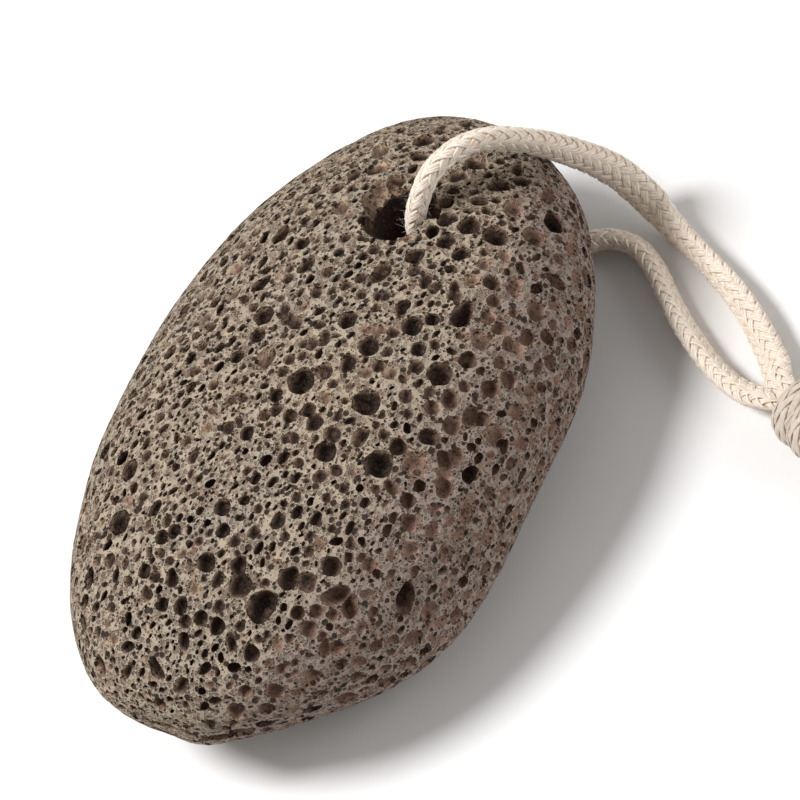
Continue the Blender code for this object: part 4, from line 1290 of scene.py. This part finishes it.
def stoneMaterial():
    material, tree, shader, place = newMaterial("pumice")
    depth = readAttribute(tree, "depth")
    sunken = readAttribute(tree, "sunken")
    onFlank = smoothBetween(tree, readAttribute(tree, "flank"), 0.20, 0.62)
    tint = readAttribute(tree, "tint")
    bent = bentPlace(tree, place, 900.0, 0.00030)
    broad = useGroup(tree, softPatches, place, Size=38.0, Contrast=2.4).outputs["Share"]
    small = useGroup(tree, softPatches, place, Size=330.0, Contrast=2.6).outputs["Share"]
    fine = useGroup(tree, softPatches, place, Size=2400.0, Contrast=2.2).outputs["Share"]
    foam = useGroup(tree, foamCells, bent, Size=1450.0, Wall=0.035, Filled=0.10).outputs["Hollow"]
    coarse = useGroup(tree, finePores, bent, Size=900.0, Smallest=-0.10, Largest=0.52)
    dots = useGroup(tree, finePores, bent, Size=1500.0, Smallest=-0.02, Largest=0.47)
    pocks = useGroup(tree, finePores, bent, Size=560.0, Smallest=0.05, Largest=0.50)
    specks = useGroup(tree, finePores, place, Size=2600.0, Smallest=-0.10, Largest=0.46)

    ground = mixColour(tree, broad, (0.385, 0.316, 0.236), (0.325, 0.292, 0.242))
    ground = mixColour(tree, small, ground, (0.445, 0.364, 0.268))
    # the flank's ground is darker and greyer: partly its own tone, partly painted shade for the side turned
    # from the key light
    ground = mixColour(tree, onFlank, ground, (0.298, 0.240, 0.203))
    rim = mixColour(tree, tint, (0.52, 0.372, 0.250), (0.44, 0.345, 0.255))
    # the flank's rims are darker and redder: partly their own colour, partly painted shade
    rim = mixColour(tree, onFlank, rim, (0.32, 0.205, 0.160))
    # brown inside the bubbles: partly the walls' own redder colour, partly painted shade darkening the
    # hollows
    brown = mixColour(tree, tint, (0.245, 0.148, 0.100), (0.178, 0.114, 0.082))
    brown = mixColour(tree, mathNode(tree, "MULTIPLY", onFlank, 0.6), brown, (0.27, 0.152, 0.114))
    # painted shade: near-black deep in the bubbles and at their bottoms, weaker on the flank whose bubbles
    # are shallower
    deepShade = mixColour(tree, tint, (0.015, 0.009, 0.007), (0.007, 0.005, 0.004))
    intoRim = smoothBetween(tree, depth, 0.01, 0.10)
    intoBrown = smoothBetween(tree, sunken, 0.10, 0.26)
    bottomShadeMost = mathNode(tree, "MULTIPLY_ADD", onFlank, -0.58, 0.97)
    bubbleBottomShade = mathNode(tree, "MULTIPLY", smoothBetween(tree, sunken, 0.17, 0.40), bottomShadeMost)
    intoDeepShade = mathNode(tree, "MAXIMUM", bubbleBottomShade, smoothBetween(tree, depth, 0.75, 2.0))
    wall = mixColour(tree, intoRim, ground, rim)
    wall = mixColour(tree, intoBrown, wall, brown)
    wall = mixColour(tree, intoDeepShade, wall, deepShade)
    onFace = mathNode(tree, "SUBTRACT", 1.0, mathNode(tree, "MULTIPLY", intoBrown, 0.50))
    # painted shade: the small foam hollows, pores and specks, too small to model, are darkened as if in shade
    hollow = mathNode(tree, "MULTIPLY", foam, onFace)
    pockShare = mathNode(tree, "MULTIPLY", pocks.outputs["Mask"], onFace)
    # the pocks get a brown that is partly their walls' own colour, partly painted shade
    wall = mixColour(tree, mathNode(tree, "MULTIPLY", pockShare, 0.6), wall, (0.30, 0.19, 0.13))
    colour = mixColour(tree, mathNode(tree, "MULTIPLY", fine, 0.30), wall, (0.13, 0.095, 0.075))
    colour = mixColour(tree, mathNode(tree, "MULTIPLY", hollow, 0.72), colour, (0.115, 0.075, 0.056))
    # painted shade: near-black inside the pores and specks
    bothPores = mathNode(tree, "MAXIMUM", coarse.outputs["Mask"], dots.outputs["Mask"])
    poreShare = mathNode(tree, "MULTIPLY", bothPores, onFace)
    colour = mixColour(tree, mathNode(tree, "MULTIPLY", poreShare, 0.95), colour, (0.036, 0.025, 0.020))
    speckShare = mathNode(tree, "MULTIPLY", specks.outputs["Mask"], mathNode(tree, "MULTIPLY", onFace, 0.8))
    colour = mixColour(tree, speckShare, colour, (0.040, 0.028, 0.022))
    link(tree, colour, shader.inputs["Base Color"])
    shader.inputs["Roughness"].default_value = 0.95
    shader.inputs["Specular IOR Level"].default_value = 0.10

    sunk = mathNode(tree, "MULTIPLY_ADD", hollow, -0.75, mathNode(tree, "MULTIPLY", fine, 0.35))
    sunk = mathNode(tree, "MULTIPLY_ADD", coarse.outputs["Depth"], -2.0, sunk)
    sunk = mathNode(tree, "MULTIPLY_ADD", dots.outputs["Depth"], -1.4, sunk)
    sunk = mathNode(tree, "MULTIPLY_ADD", specks.outputs["Depth"], -0.8, sunk)
    pockDepth = mathNode(tree, "MULTIPLY", pocks.outputs["Depth"], onFace)
    sunk = mathNode(tree, "MULTIPLY_ADD", pockDepth, -3.0, sunk)
    bump = addNode(tree, "ShaderNodeBump")
    bump.inputs["Strength"].default_value = 1.0
    bump.inputs["Distance"].default_value = 0.00026
    link(tree, sunk, bump.inputs["Height"])
    link(tree, bump.outputs["Normal"], shader.inputs["Normal"])
    return material


def makeStone():
    stone = growBody()
    tree = bodyTree(stone)
    shapes = [bubbleShapes(1), bubbleShapes(2), bubbleShapes(3)]
    bubbles = handBubbles(tree)
    print("bubbles set by hand:", len(bubbles))
    bubbles += scatteredBubbles(stone, bubbles)
    batches = inBatches(bubbles)
    print("bubbles in all:", len(bubbles), "in", len(batches), "batches")
    drillHole(stone, tree)
    wearMouths(stone, tree, shapes)
    for number, batch in enumerate(batches):
        cutAway(stone, batchCutter(number, batch, shapes))
    print("cut,", triangleCount(stone), "triangles")
    thinOut(stone, bubbleMake["mostTriangles"])
    closeAgain(stone)
    markDepth(stone, tree, bubbles)
    stone.data.materials.clear()
    stone.data.materials.append(stoneMaterial())
    smoothByAngle(stone, 42.0)
    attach(stone, "root")
    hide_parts("pumice_stone")
    print("stone made,", triangleCount(stone), "triangles")


makeStone()


# the plain floor and the soft light

studio = {
    "floorAcross": 4.0,
    "floorColour": (0.80, 0.79, 0.785),
    "lamps": [
        ("key", (-0.235, 0.405, 0.884), 0.9, 0.32, 8.9),
        ("fill", (0.390, -0.730, 0.396), 0.9, 0.60, 2.7),
    ],
    "skyColour": (1.0, 0.99, 0.975),
    "skyStrength": 0.37,
}


def makeFloor(setup):
    deselectAll()
    bpy.ops.mesh.primitive_plane_add(size=setup["floorAcross"], location=(0, 0, -0.00005))
    floor = bpy.context.object
    floor.name = "floor"
    bpy.ops.object.transform_apply(location=True, rotation=True, scale=True)
    material, tree, shader, place = newMaterial("paleFloor")
    patches = useGroup(tree, softPatches, place, Size=4.0, Contrast=0.6)
    r, g, b = setup["floorColour"]
    shade = mixColour(tree, patches.outputs["Share"], (r, g, b), (r * 0.985, g * 0.985, b * 0.985))
    link(tree, shade, shader.inputs["Base Color"])
    shader.inputs["Roughness"].default_value = 0.6
    floor.data.materials.append(material)


def makeLight(setup):
    for name, direction, away, across, power in setup["lamps"]:
        towards = Vector(direction).normalized()
        lamp = bpy.data.lights.new(name, "AREA")
        lamp.shape = "DISK"
        lamp.size = across
        lamp.energy = power
        stand = bpy.data.objects.new(name, lamp)
        bpy.context.scene.collection.objects.link(stand)
        turned = towards.to_track_quat("Z", "Y").to_matrix().to_4x4()
        stand.matrix_world = Matrix.Translation(towards * away) @ turned
    world = bpy.data.worlds.new("softRoom")
    bpy.context.scene.world = world
    world.use_nodes = True
    background = world.node_tree.nodes["Background"]
    background.inputs["Color"].default_value = (*setup["skyColour"], 1.0)
    background.inputs["Strength"].default_value = setup["skyStrength"]
    bpy.context.scene.view_settings.view_transform = "Standard"


makeFloor(studio)
makeLight(studio)
print("floor and light ready")
